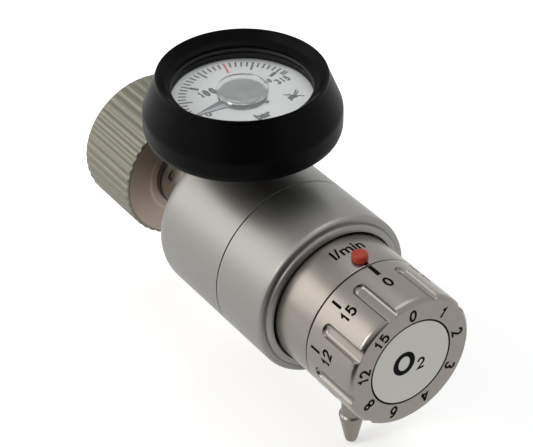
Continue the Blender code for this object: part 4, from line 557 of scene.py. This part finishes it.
# Words and numbers, centred on their own middle. The letters' height is that of a capital.
def wordsPiece(name, words, height, bend, squeeze, bolder, longest=cutLength):
    curve = bpy.data.curves.new(name, "FONT")
    curve.body = words
    curve.size = height / capitalShare
    curve.offset = bolder
    curve.extrude = markThickness
    curve.resolution_u = 6
    helper = addObject(name, curve)
    bpy.context.view_layer.update()
    evaluated = helper.evaluated_get(bpy.context.evaluated_depsgraph_get())
    flatMesh = bpy.data.meshes.new_from_object(evaluated)
    bpy.data.objects.remove(helper)
    shape = bmesh.new()
    shape.from_mesh(flatMesh)
    bmesh.ops.remove_doubles(shape, verts=shape.verts, dist=1e-5)
    across = [v.co.x for v in shape.verts]
    middle = (min(across) + max(across)) / 2
    for v in shape.verts:
        v.co.x = (v.co.x - middle) * squeeze
        v.co.y -= height / 2
    return meshFromFlat(name, shape, bend, longest)


def barPiece(name, width, height, bend, longest=cutLength):
    shape = bmesh.new()
    bmesh.ops.create_cube(shape, size=1.0)
    bmesh.ops.scale(shape, verts=shape.verts, vec=(width, height, 2 * markThickness))
    return meshFromFlat(name, shape, bend, longest)


# Digits as pen strokes in a box one wide and one high about its middle. A stroke that ends at its start is
# a loop.
def arcLine(x, y, halfWide, halfHigh, first, last, count=16):
    t = np.radians(np.linspace(first, last, count))
    return np.stack([x + halfWide * np.cos(t), y + halfHigh * np.sin(t)], axis=-1)


digitStrokes = {
    "0": [arcLine(0, 0, 0.5, 0.5, 90, 450, 37)],
    "1": [np.array([(-0.5, 0.21), (-0.1, 0.3), (0.32, 0.5), (0.32, -0.5)])],
    "2": [np.concatenate([arcLine(0, 0.2, 0.47, 0.3, 175, -35), [(-0.48, -0.5), (0.5, -0.5)]])],
    "3": [arcLine(-0.02, 0.26, 0.42, 0.24, 165, -90), arcLine(0, -0.24, 0.5, 0.26, 90, -165)],
    "4": [np.array([(0.28, -0.5), (0.28, 0.5)]), np.array([(0.28, 0.46), (-0.62, -0.22), (0.62, -0.22)])],
    "5": [np.concatenate([
        [(0.42, 0.5), (-0.3, 0.5), (-0.4, 0.02)], arcLine(0, -0.17, 0.5, 0.33, 125, -155)])],
    "6": [arcLine(0, -0.18, 0.5, 0.32, 90, 450, 37), arcLine(0.12, -0.16, 0.62, 0.66, 180, 72)],
    "8": [arcLine(0, 0.26, 0.41, 0.24, 90, 450, 37), arcLine(0, -0.24, 0.5, 0.26, 90, 450, 37)],
}


# A stroke's sides lie half a pen from its line; at a corner they follow the mitre, at most twice the pen.
def addStroke(shape, line, pen):
    loop = np.allclose(line[0], line[-1])
    if loop:
        line = line[:-1]
    ahead = np.roll(line, -1, axis=0) - line
    ahead = ahead / np.linalg.norm(ahead, axis=1)[:, None]
    before = np.roll(ahead, 1, axis=0)
    if not loop:
        before[0] = ahead[0]
        ahead[-1] = before[-1]
    side = np.stack([-ahead[:, 1] - before[:, 1], ahead[:, 0] + before[:, 0]], axis=-1)
    side = side / np.linalg.norm(side, axis=1)[:, None]
    reach = pen / 2 / np.maximum(side[:, 1] * ahead[:, 0] - side[:, 0] * ahead[:, 1], 0.5)
    left = line + side * reach[:, None]
    right = line - side * reach[:, None]
    levels = [(left, -markThickness), (left, markThickness), (right, markThickness), (right, -markThickness)]
    ring = [[shape.verts.new((x, y, z)) for x, y in points] for points, z in levels]
    count = len(line)
    for k in range(count if loop else count - 1):
        after = (k + 1) % count
        for j in range(4):
            shape.faces.new([ring[j][k], ring[j][after], ring[(j + 1) % 4][after], ring[(j + 1) % 4][k]])
    if not loop:
        shape.faces.new([ring[j][0] for j in range(4)])
        shape.faces.new([ring[j][-1] for j in reversed(range(4))])


# A "1" is narrower than the other digits, and the space between two is a share of the width.
numbers = {"narrowOne": 0.68, "space": 0.24}


def numberPiece(name, digits, width, height, pen, bend, longest=cutLength):
    widths = [numbers["narrowOne"] * width if digit == "1" else width for digit in digits]
    space = numbers["space"] * width
    left = -(sum(widths) + space * (len(digits) - 1)) / 2
    shape = bmesh.new()
    for digit, wide in zip(digits, widths):
        for stroke in digitStrokes[digit]:
            addStroke(shape, stroke * (wide - pen, height - pen) + (left + wide / 2, 0), pen)
        left += wide + space
    return meshFromFlat(name, shape, bend, longest)


marks = {"values": ["0", "1", "2", "3", "4", "6", "8", "12", "15"], "faceRadius": 18.45, "height": 4.5,
         "width": 2.85, "pen": 0.84, "sideMiddle": 141.85, "sideLag": 0.5, "tickWidth": 0.95,
         "tickMiddle": 136.2, "tickLength": 4.4, "zeroAngle": 89.6, "zeroWidth": 1.5, "zeroLength": 5.2,
         "zeroMiddle": 134.95, "fixedLength": 2.6, "fixedMiddle": 130.2, "unitHeight": 4.3,
         "unitAngle": 89.9, "unitMiddle": 121.2, "unitSqueeze": 1.06, "unitBolder": 0.12}
labelMarks = {"outer": (4.2, 4.4), "inner": (2.25, 2.75), "ovalPlace": (-2.7, 0.8), "ovalSides": 96,
              "twoWidth": 3.2, "twoHeight": 4.6, "twoPen": 0.8, "twoPlace": (4.0, -2.2)}


def makeKnobMarks():
    p = marks
    for k, value in enumerate(p["values"]):
        angle = 90 - 360 / knob["steps"] * k
        onFace = numberPiece(f"face_number_{value}", value, p["width"], p["height"], p["pen"],
                             onKnobFace(angle, p["faceRadius"]))
        dress(onFace, finish["ink"], "selector", "knob_metal")
        onSide = numberPiece(f"side_number_{value}", value, p["width"], p["height"], p["pen"],
                             onKnobSide(angle - p["sideLag"], p["sideMiddle"]))
        dress(onSide, finish["ink"], "selector", "knob_metal")
        if k:
            tick = barPiece(f"side_tick_{value}", p["tickWidth"], p["tickLength"],
                            onKnobSide(angle, p["tickMiddle"]))
            dress(tick, finish["ink"], "selector", "knob_metal")
    zero = barPiece("side_tick_0", p["zeroWidth"], p["zeroLength"],
                    onKnobSide(p["zeroAngle"], p["zeroMiddle"]))
    dress(zero, finish["ink"], "selector", "knob_metal")
    fixedMark = barPiece("ring_mark", p["zeroWidth"], p["fixedLength"],
                         onKnobSide(p["zeroAngle"], p["fixedMiddle"]))
    dress(fixedMark, finish["ink"], "regulator", "knob_metal")
    unit = wordsPiece("ring_unit", "l/min", p["unitHeight"], onKnobSide(p["unitAngle"], p["unitMiddle"]),
                      p["unitSqueeze"], p["unitBolder"])
    dress(unit, finish["ink"], "regulator", "knob_metal")


# The big O is an oval band between two ellipses, and the small 2 stands below it to the right.
def makeLabelMarks():
    p = labelMarks
    turn = np.linspace(0, math.tau, p["ovalSides"], endpoint=False)
    sizes = [p["outer"], p["outer"], p["inner"], p["inner"]]
    levels = [0.0, 2 * markThickness, 2 * markThickness, 0.0]
    rings = [np.stack([a * np.cos(turn), b * np.sin(turn), np.full_like(turn, h)], axis=-1)
             for (a, b), h in zip(sizes, levels)]
    place = onLabel(*p["ovalPlace"])
    bigO = gridMesh("label_O", np.stack([place(r) for r in rings]), sharpDegrees=30)
    dress(bigO, finish["ink"], "selector", "label_grey")
    two = numberPiece("label_2", "2", p["twoWidth"], p["twoHeight"], p["twoPen"], onLabel(*p["twoPlace"]))
    dress(two, finish["ink"], "selector", "label_grey")


makeKnobMarks()
makeLabelMarks()
print("knob marks made")

# Indicator pin: a foot in the ring and a round head that widens a little to its rounded top
pin = {"place": 127.9, "foot": 20.2, "footRadius": 1.2, "seat": 23.45, "seatRadius": 2.65, "top": 26.25}
pinPiece = turnedPiece("pin_head", [
    (pin["foot"], 0), (pin["foot"], pin["footRadius"]), (pin["seat"], pin["footRadius"]),
    (pin["seat"], pin["seatRadius"], 0.2), (25.85, 2.7, 0.9), (26.2, 1.3, 0.9), (pin["top"], 0)],
    uprightAxis(pin["place"]), 96, closed=False)
dress(pinPiece, finish["red"], "regulator", "signal_red", "indicator_pin")

# Hose barb: the neck, the ridge and the taper, and then the hexagon under the ring
barb = turnedPiece("barb_spout", [
    (17.0, 1.25), (17.0, 3.6), (28.0, 3.6, 0.4), (28.4, 3.5, 0.2), (42.1, 3.5, 0.2), (42.7, 4.25, 0.12),
    (43.4, 4.3, 0.3), (53.3, 2.2, 0.5), (54.2, 1.9, 0.2), (54.2, 1.25, 0.1)], onBarb, 128)
dress(barb, finish["knob"], "regulator", "knob_metal", "hose_barb")


# A hexagon: its reach at each angle is the flats' distance over the cosine, or the chamfer cone's
# radius at the ends where that is smaller.
def hexPiece(name, axis, low, high, flats, bore, chamfer, segments=240):
    levels = np.array([low, low, low + chamfer * 0.5, (low + high) / 2, high - chamfer * 0.5, high, high])
    angle = np.linspace(0, math.tau, segments, endpoint=False)
    sixth = angle - math.tau / 6 * np.round(angle / (math.tau / 6))
    reach = flats / 2 / np.cos(sixth)
    corner = flats / 2 / math.cos(math.pi / 6)
    cone = np.array([bore, corner - chamfer, corner, corner, corner, corner - chamfer, bore])
    radius = np.minimum(reach[None, :], cone[:, None])
    around = np.repeat(angle[None, :], len(levels), axis=0)
    along = np.repeat(levels[:, None], len(angle), axis=1)
    return gridMesh(name, axis(radius, around, along), sharpDegrees=25)


barbHex = hexPiece("barb_hexagon", onBarb, low=23.4, high=28.0, flats=9.6, bore=3.4, chamfer=0.5)
dress(barbHex, finish["knob"], "regulator", "knob_metal")
print("pin and barb made")

# Gauge socket and boss under the boot
socket = hexPiece("socket_hexagon", onGauge, low=31.37, high=38.03, flats=14.06, bore=4.4, chamfer=0.7)
dress(socket, finish["core"], "regulator", "socket_brass")
boss = turnedPiece("boss_collar", [
    (20.5, 4.8), (20.5, 7.83), (29.63, 7.83, 0.4), (29.63, 4.8)], onGauge, 128)
dress(boss, finish["core"], "regulator", "core_metal")

# Gauge boot
boot = {"bottom": 38.5, "holeRadius": 9.3, "radius": 32.8, "bandTop": 46.8, "top": 59.2, "topRadius": 28.4,
        "sight": 23.25, "lipBottom": 54.6, "bezelRadius": 25.7, "bezelFloor": 49.0, "caseRadius": 24.9,
        "floor": 40.1}


def makeBoot():
    p = boot
    piece = turnedPiece("boot_skin", [
        (p["bottom"], p["holeRadius"], 0.4), (p["bottom"], p["radius"] - 0.7, 1.5),
        (p["bottom"] + 2.2, p["radius"], 1.0), (p["bandTop"], p["radius"], 1.2),
        (p["top"] - 1.5, p["topRadius"], 0.35), (p["top"] - 0.05, 28.0, 0.4), (p["top"], 27.5, 0.35),
        (56.5, 25.2, 0.2), (56.0, 24.5, 0.2), (55.3, p["sight"], 0.2), (p["lipBottom"], p["sight"], 0.1),
        (p["lipBottom"], p["bezelRadius"]), (p["bezelFloor"], p["bezelRadius"]),
        (p["bezelFloor"], p["caseRadius"]), (p["floor"], p["caseRadius"]), (p["floor"], p["holeRadius"])],
        onGauge, steps=10)
    dress(piece, finish["boot"], "regulator", "boot_rubber", "gauge_boot")


makeBoot()

# Gauge front: bezel, case, window with its frosted dome, and dial
gauge = {"sight": 22.95, "bezelTop": 54.2, "bezelFoot": 49.2, "bezelLip": 53.2, "bezelInner": 24.9,
         "bezelOuter": 25.4, "windowRadius": 24.5, "windowLow": 51.9, "windowHigh": 52.9, "domeRadius": 8.5,
         "domeRim": 0.9, "domeHeight": 1.9, "dialBack": 49.1, "dialLevel": 49.6, "dialRadius": 23.3,
         "dialHole": 1.5}


def makeGaugeFront():
    p = gauge
    bezel = turnedPiece("bezel_ring", [
        (p["bezelFoot"], p["bezelInner"]), (p["bezelFoot"], p["bezelOuter"]),
        (p["bezelTop"], p["bezelOuter"], 0.3), (p["bezelTop"], p["sight"] + 0.1, 0.4),
        (p["bezelLip"], p["sight"], 0.2), (p["bezelLip"], p["bezelInner"])], onGauge)
    dress(bezel, finish["case"], "regulator", "gauge_black", "gauge_bezel")
    case = turnedPiece("case_cup", [
        (40.4, 5.3), (40.4, 24.6, 0.8), (51.6, 24.6), (51.6, 23.6), (49.1, 23.6), (49.1, 22.0),
        (42.0, 22.0), (42.0, 5.3)], onGauge)
    dress(case, finish["case"], "regulator", "gauge_black", "gauge_case")
    low = p["windowLow"]
    high = p["windowHigh"]
    inner = p["domeRadius"] + 0.02
    window = turnedPiece("window_lens", [
        (low, inner), (low, p["windowRadius"]), (high, p["windowRadius"]), (high, inner)], onGauge)
    dress(window, finish["clear"], "regulator", "clear_window", "gauge_window")
    dome = turnedPiece("window_dome", [
        (low, 0), (low, p["domeRadius"]), (high + p["domeRim"], p["domeRadius"], 0.2),
        (high + p["domeRim"] + 0.15, 8.0, 0.2), (high + p["domeHeight"] - 0.1, 3.6, 3.0),
        (high + p["domeHeight"], 0)], onGauge, closed=False)
    dress(dome, finish["frosted"], "regulator", "clear_window")
    dial = turnedPiece("dial_face", [
        (p["dialBack"], p["dialHole"]), (p["dialBack"], p["dialRadius"]),
        (p["dialLevel"], p["dialRadius"], 0.05), (p["dialLevel"], p["dialHole"])], onGauge)
    dress(dial, finish["dial"], "regulator", "dial_white", "gauge_dial")


makeGaugeFront()

# The numbers are (digits, width, height, pen, x, y). The sign for no oil is a can with its spout, crossed by
# two strokes: (x, y, turn in degrees, width, height).
dialMarks = {
    "zeroAngle": 183.0, "perBar": 0.549, "last": 315, "outer": 21.0, "short": 18.3, "shortWidth": 0.66,
    "long": 16.4, "longWidth": 0.74, "boldInner": 15.0, "boldOuter": 18.0, "boldWidth": 1.25,
    "redInner": 15.1, "redWidth": 0.8,
    "numbers": [("100", 1.95, 4.0, 0.88, -8.0, 8.6), ("300", 1.25, 2.6, 0.56, 11.0, 2.75),
                ("315", 1.7, 3.3, 0.72, 16.2, 0.6), ("0", 1.9, 2.8, 0.62, -14.6, -2.0)],
    "unitHeight": 3.2, "unitPlace": (-0.8, -12.6), "unitSqueeze": 0.9, "unitBolder": 0.26,
    "noOil": [(13.0, -9.7, 0, 3.2, 1.9), (15.6, -8.5, 35, 2.6, 0.45), (12.6, -7.8, 0, 1.5, 0.45),
              (13.9, -9.1, 42, 7.0, 0.5), (13.9, -9.1, -42, 7.0, 0.5)],
}


def dialTick(name, bar, inner, outer, width, material):
    angle = dialMarks["zeroAngle"] - dialMarks["perBar"] * bar
    middle = (inner + outer) / 2
    x = middle * math.cos(math.radians(angle))
    y = middle * math.sin(math.radians(angle))
    tick = barPiece(name, outer - inner, width, onDial(x, y, angle), uncut)
    dress(tick, material, "regulator", "dial_white")


def makeDialMarks():
    p = dialMarks
    for bar in range(0, 311, 10):
        if bar == 200:
            dialTick("tick_200", bar, p["redInner"], p["outer"], p["redWidth"], finish["redInk"])
        elif bar in (100, 300):
            dialTick(f"tick_{bar}", bar, p["boldOuter"], p["outer"], p["shortWidth"], finish["ink"])
            dialTick(f"tick_bold_{bar}", bar, p["boldInner"], p["boldOuter"], p["boldWidth"], finish["ink"])
        elif bar % 50 == 0:
            dialTick(f"tick_{bar}", bar, p["long"], p["outer"], p["longWidth"], finish["ink"])
        else:
            dialTick(f"tick_{bar}", bar, p["short"], p["outer"], p["shortWidth"], finish["ink"])
    dialTick("tick_315", p["last"], p["short"], p["outer"], p["shortWidth"], finish["ink"])
    for digits, width, height, pen, x, y in p["numbers"]:
        piece = numberPiece(f"dial_{digits}", digits, width, height, pen, onDial(x, y), uncut)
        dress(piece, finish["ink"], "regulator", "dial_white")
    unit = wordsPiece("dial_bar", "bar", p["unitHeight"], onDial(*p["unitPlace"]), p["unitSqueeze"],
                      p["unitBolder"], uncut)
    dress(unit, finish["ink"], "regulator", "dial_white")
    for k, (x, y, turnBy, width, height) in enumerate(p["noOil"]):
        stroke = barPiece(f"no_oil_{k}", width, height, onDial(x, y, turnBy), uncut)
        dress(stroke, finish["ink"], "regulator", "dial_white")


makeDialMarks()

pointer = {"hubRadius": 8.0, "reach": 18.2, "angle": 181.5, "low": 49.66, "high": 49.9, "rootHalf": 16.5,
           "tipHalf": 0.35, "bladeLimit": 60, "bladeSpread": 9, "tailAngle": 302, "tailReach": 9.2,
           "tailHalf": 4.6, "tailSpread": 5, "fold": 0.25, "tipFold": 0.1, "foldInset": 0.6,
           "capFoot": 49.8, "capTop": 51.2}


# How far each angle lies from a direction, in degrees from -180 to 180
def degreesFrom(angle, direction):
    return np.degrees((angle - math.radians(direction) + math.pi) % math.tau - math.pi)


# The pointer: a round hub whose reach grows to the blade's tip and to a small tail, by its angle. The points
# stand closer together at the blade and the tail.
def makePointer():
    p = pointer
    bladeAngles = p["angle"] + np.linspace(-p["bladeSpread"], p["bladeSpread"], 37)
    tailAngles = p["tailAngle"] + np.linspace(-p["tailSpread"], p["tailSpread"], 11)
    angle = np.radians(np.unique(np.concatenate([np.arange(0, 360, 3.0), bladeAngles, tailAngles]) % 360))
    off = degreesFrom(angle, p["angle"])
    halfWidth = p["hubRadius"] * math.sin(math.radians(p["rootHalf"]))
    slope = (halfWidth - p["tipHalf"]) / (p["reach"] - p["hubRadius"])
    sine = np.abs(np.sin(np.radians(off)))
    edge = (halfWidth + slope * p["hubRadius"]) / (sine + slope * np.cos(np.radians(off)).clip(0.01, 1))
    blade = np.where(np.abs(off) < p["bladeLimit"], np.minimum(edge, p["reach"]), 0)
    reach = np.maximum(blade, p["hubRadius"])
    tail = degreesFrom(angle, p["tailAngle"])
    reach = np.where(np.abs(tail) <= p["tailHalf"], p["tailReach"], reach)
    inner = np.zeros_like(reach)
    radius = np.stack([inner, reach, reach, inner])
    levels = np.array([p["low"], p["low"], p["high"], p["high"]])[:, None] + 0 * radius
    around = np.repeat(angle[None, :], 4, axis=0)
    blank = gridMesh("pointer_blade", onGauge(radius, around, levels), closeRows=False, sharpDegrees=25)
    dress(blank, finish["pointer"], "pointer_group", "pointer_grey", "gauge_pointer")
    # The blade is folded along its middle; the side that leans to the front gets a lighter metal, painted
    # highlight for the light that facet catches
    turn = math.radians(p["angle"])
    c = math.cos(turn)
    n = math.sin(turn)
    ends = [(p["hubRadius"] - p["foldInset"], halfWidth, p["fold"]),
            (p["reach"] - p["foldInset"], p["tipHalf"], p["tipFold"])]
    rows = []
    for x, wide, lift in ends:
        row = [(0.1 * wide, p["high"] - 0.1), (0.1 * wide, p["high"] + lift), (wide, p["high"] + 0.05),
               (wide, p["high"] - 0.1)]
        rows.append([(x * c - y * n, -gaugePlace + x * n + y * c, z) for y, z in row])
    rows = [[np.mean(rows[0], axis=0)] * 4] + rows + [[np.mean(rows[1], axis=0)] * 4]
    fold = gridMesh("pointer_fold", np.array(rows) * mm, closeRows=False, sharpDegrees=8)
    dress(fold, finish["pointerLitFacet"], "pointer_group", "pointer_grey")
    cap = turnedPiece("pointer_cap", [
        (p["capFoot"], 0), (p["capFoot"], 2.4), (p["capTop"], 1.7, 0.4), (p["capTop"], 0)],
        onGauge, 64, closed=False)
    dress(cap, finish["case"], "pointer_group", "pointer_grey")


makePointer()
print("gauge made")

# The pieces inside keep their CAD form and get the finish of their record slot
bySlot = {"inner_brass": "brass", "seal_rubber": "seal", "filter_bronze": "bronze", "core_metal": "core",
          "seat_plastic": "nylon", "spring_steel": "steel", "label_grey": "disc", "knob_metal": "knob",
          "socket_brass": "core", "gauge_black": "case", "pointer_grey": "pointer", "nut_metal": "nut",
          "housing_metal": "housing", "signal_red": "red", "clear_window": "clear", "dial_white": "dial",
          "boot_rubber": "boot"}
slotOf = {entry["node"]: entry["material_slot"] for entry in frame["record"]["subparts"]}
for name, node in cadNodes.items():
    node.data.materials.clear()
    node.data.materials.append(finish[bySlot[slotOf[name]]])
print("inner pieces finished")

# Camera, at the photograph's place
view = {"place": (-0.28639, -0.49183, 0.38467), "azimuth": -34.635, "elevation": 36.885, "roll": -0.806,
        "lens": 127.7, "sensor": 36}


def makeCamera():
    azimuth, elevation, roll = [math.radians(view[key]) for key in ("azimuth", "elevation", "roll")]
    back = Vector((math.sin(azimuth) * math.cos(elevation), -math.cos(azimuth) * math.cos(elevation),
                   math.sin(elevation)))
    right = Vector((math.cos(azimuth), math.sin(azimuth), 0))
    up = back.cross(right)
    turnedRight = math.cos(roll) * right + math.sin(roll) * up
    turnedUp = math.cos(roll) * up - math.sin(roll) * right
    data = bpy.data.cameras.new("camera")
    data.lens = view["lens"]
    data.sensor_width = view["sensor"]
    data.sensor_fit = "HORIZONTAL"
    data.clip_start = 0.01
    camera = addObject("camera", data)
    matrix = Matrix((turnedRight, turnedUp, back)).transposed().to_4x4()
    matrix.translation = Vector(view["place"])
    camera.matrix_world = matrix
    bpy.context.scene.camera = camera


makeCamera()


# One where a ray comes from the camera, from metal or through glass, otherwise zero
def seenDirectly(tree):
    path = addNode(tree, "ShaderNodeLightPath")
    seen = addNode(tree, "ShaderNodeMath", {"operation": "MAXIMUM"}, {
        0: path.outputs["Is Camera Ray"], 1: path.outputs["Is Glossy Ray"]})
    return addNode(tree, "ShaderNodeMath", {"operation": "MAXIMUM"}, {
        0: seen.outputs["Value"], 1: path.outputs["Is Transmission Ray"]}).outputs["Value"]


# Studio: white floor and surround, broad lamps that leave soft bands on the metal
studio = {"floorLevel": -0.0555, "floorSize": 6.0, "floorColour": "#FAFAFA", "worldLight": 0.60,
          "floorGlow": 0.31, "cardPlace": (-0.20, -0.43), "cardHalfWidth": 0.26, "cardHeight": 0.25,
          "cardColour": "#121212", "lyingCard": ((-0.36, -0.46), (-0.10, -0.21)), "aim": (0, -0.08, 0.01)}
lamps = [
    {"name": "keyBehindLeft", "place": (-0.52, 0.44, 0.31), "size": (0.42, 0.60), "power": 1.7,
     "colour": (1.0, 0.96, 0.895)},
    {"name": "sideLeft", "place": (-0.65, -0.02, 0.47), "size": (0.22, 0.30), "power": 1.7,
     "colour": (1.0, 0.98, 0.94)},
    {"name": "overhead", "place": (0.25, 0.05, 0.85), "size": (0.6, 0.5), "power": 1.6,
     "colour": (1.0, 1.0, 1.0)},
]


def makeStudio():
    p = studio
    half = p["floorSize"] / 2
    mesh = bpy.data.meshes.new("studio_floor")
    corners = [(-half, -half), (half, -half), (half, half), (-half, half)]
    mesh.from_pydata([(x, y, p["floorLevel"]) for x, y in corners], [], [(0, 1, 2, 3)])
    floor = addObject("studio_floor", mesh)
    white, tree, shader = newMaterial("paleFloor", {
        "Base Color": linear(p["floorColour"]), "Roughness": 0.9, "Specular IOR Level": 0.0})
    glow = addNode(tree, "ShaderNodeMath", {"operation": "MULTIPLY", 1: p["floorGlow"]},
                   {0: seenDirectly(tree)})
    shader.inputs["Emission Color"].default_value = (1, 1, 1, 1)
    tree.links.new(glow.outputs["Value"], shader.inputs["Emission Strength"])
    mesh.materials.append(white)
    # One black card stands low before the object and one lies at its left. Only reflections show them:
    # bevels that face them turn dark.
    x, y = p["cardPlace"]
    distance = math.hypot(x, y)
    aside = np.array([-y, x]) / distance * p["cardHalfWidth"]
    low = p["floorLevel"] + 0.001
    high = low + p["cardHeight"]
    (x1, y1), (x2, y2) = p["lyingCard"]
    mesh = bpy.data.meshes.new("studio_card")
    standing = [(x - aside[0], y - aside[1], low), (x + aside[0], y + aside[1], low),
                (x + aside[0], y + aside[1], high), (x - aside[0], y - aside[1], high)]
    lying = [(x1, y1, low), (x2, y1, low), (x2, y2, low), (x1, y2, low)]
    mesh.from_pydata(standing + lying, [], [(0, 1, 2, 3), (4, 5, 6, 7)])
    card = addObject("studio_card", mesh)
    black = newMaterial("blackCard", {
        "Base Color": linear(p["cardColour"]), "Roughness": 0.9, "Specular IOR Level": 0.0})[0]
    mesh.materials.append(black)
    card.visible_camera = False
    card.visible_shadow = False
    card.visible_diffuse = False
    for lamp in lamps:
        data = bpy.data.lights.new(lamp["name"], "AREA")
        data.shape = "RECTANGLE"
        data.size, data.size_y = lamp["size"]
        data.energy = lamp["power"]
        data.color = lamp["colour"]
        item = addObject(lamp["name"], data)
        item.location = lamp["place"]
        aim = Vector(p["aim"]) - Vector(lamp["place"])
        item.rotation_euler = aim.to_track_quat("-Z", "Y").to_euler()
    world = bpy.data.worlds.new("studioWorld")
    bpy.context.scene.world = world
    world.use_nodes = True
    tree = world.node_tree
    surround = tree.nodes["Background"]
    surround.inputs["Color"].default_value = (1, 1, 1, 1)
    surround.inputs["Strength"].default_value = p["worldLight"]
    shown = addNode(tree, "ShaderNodeBackground", {"Color": (1, 1, 1, 1), "Strength": 1.0})
    choice = addNode(tree, "ShaderNodeMixShader", None, {
        0: seenDirectly(tree), 1: surround.outputs["Background"], 2: shown.outputs["Background"]})
    output = next(n for n in tree.nodes if n.type == "OUTPUT_WORLD")
    tree.links.new(choice.outputs["Shader"], output.inputs["Surface"])


makeStudio()
bpy.context.scene.view_settings.view_transform = "Standard"
print("studio made")
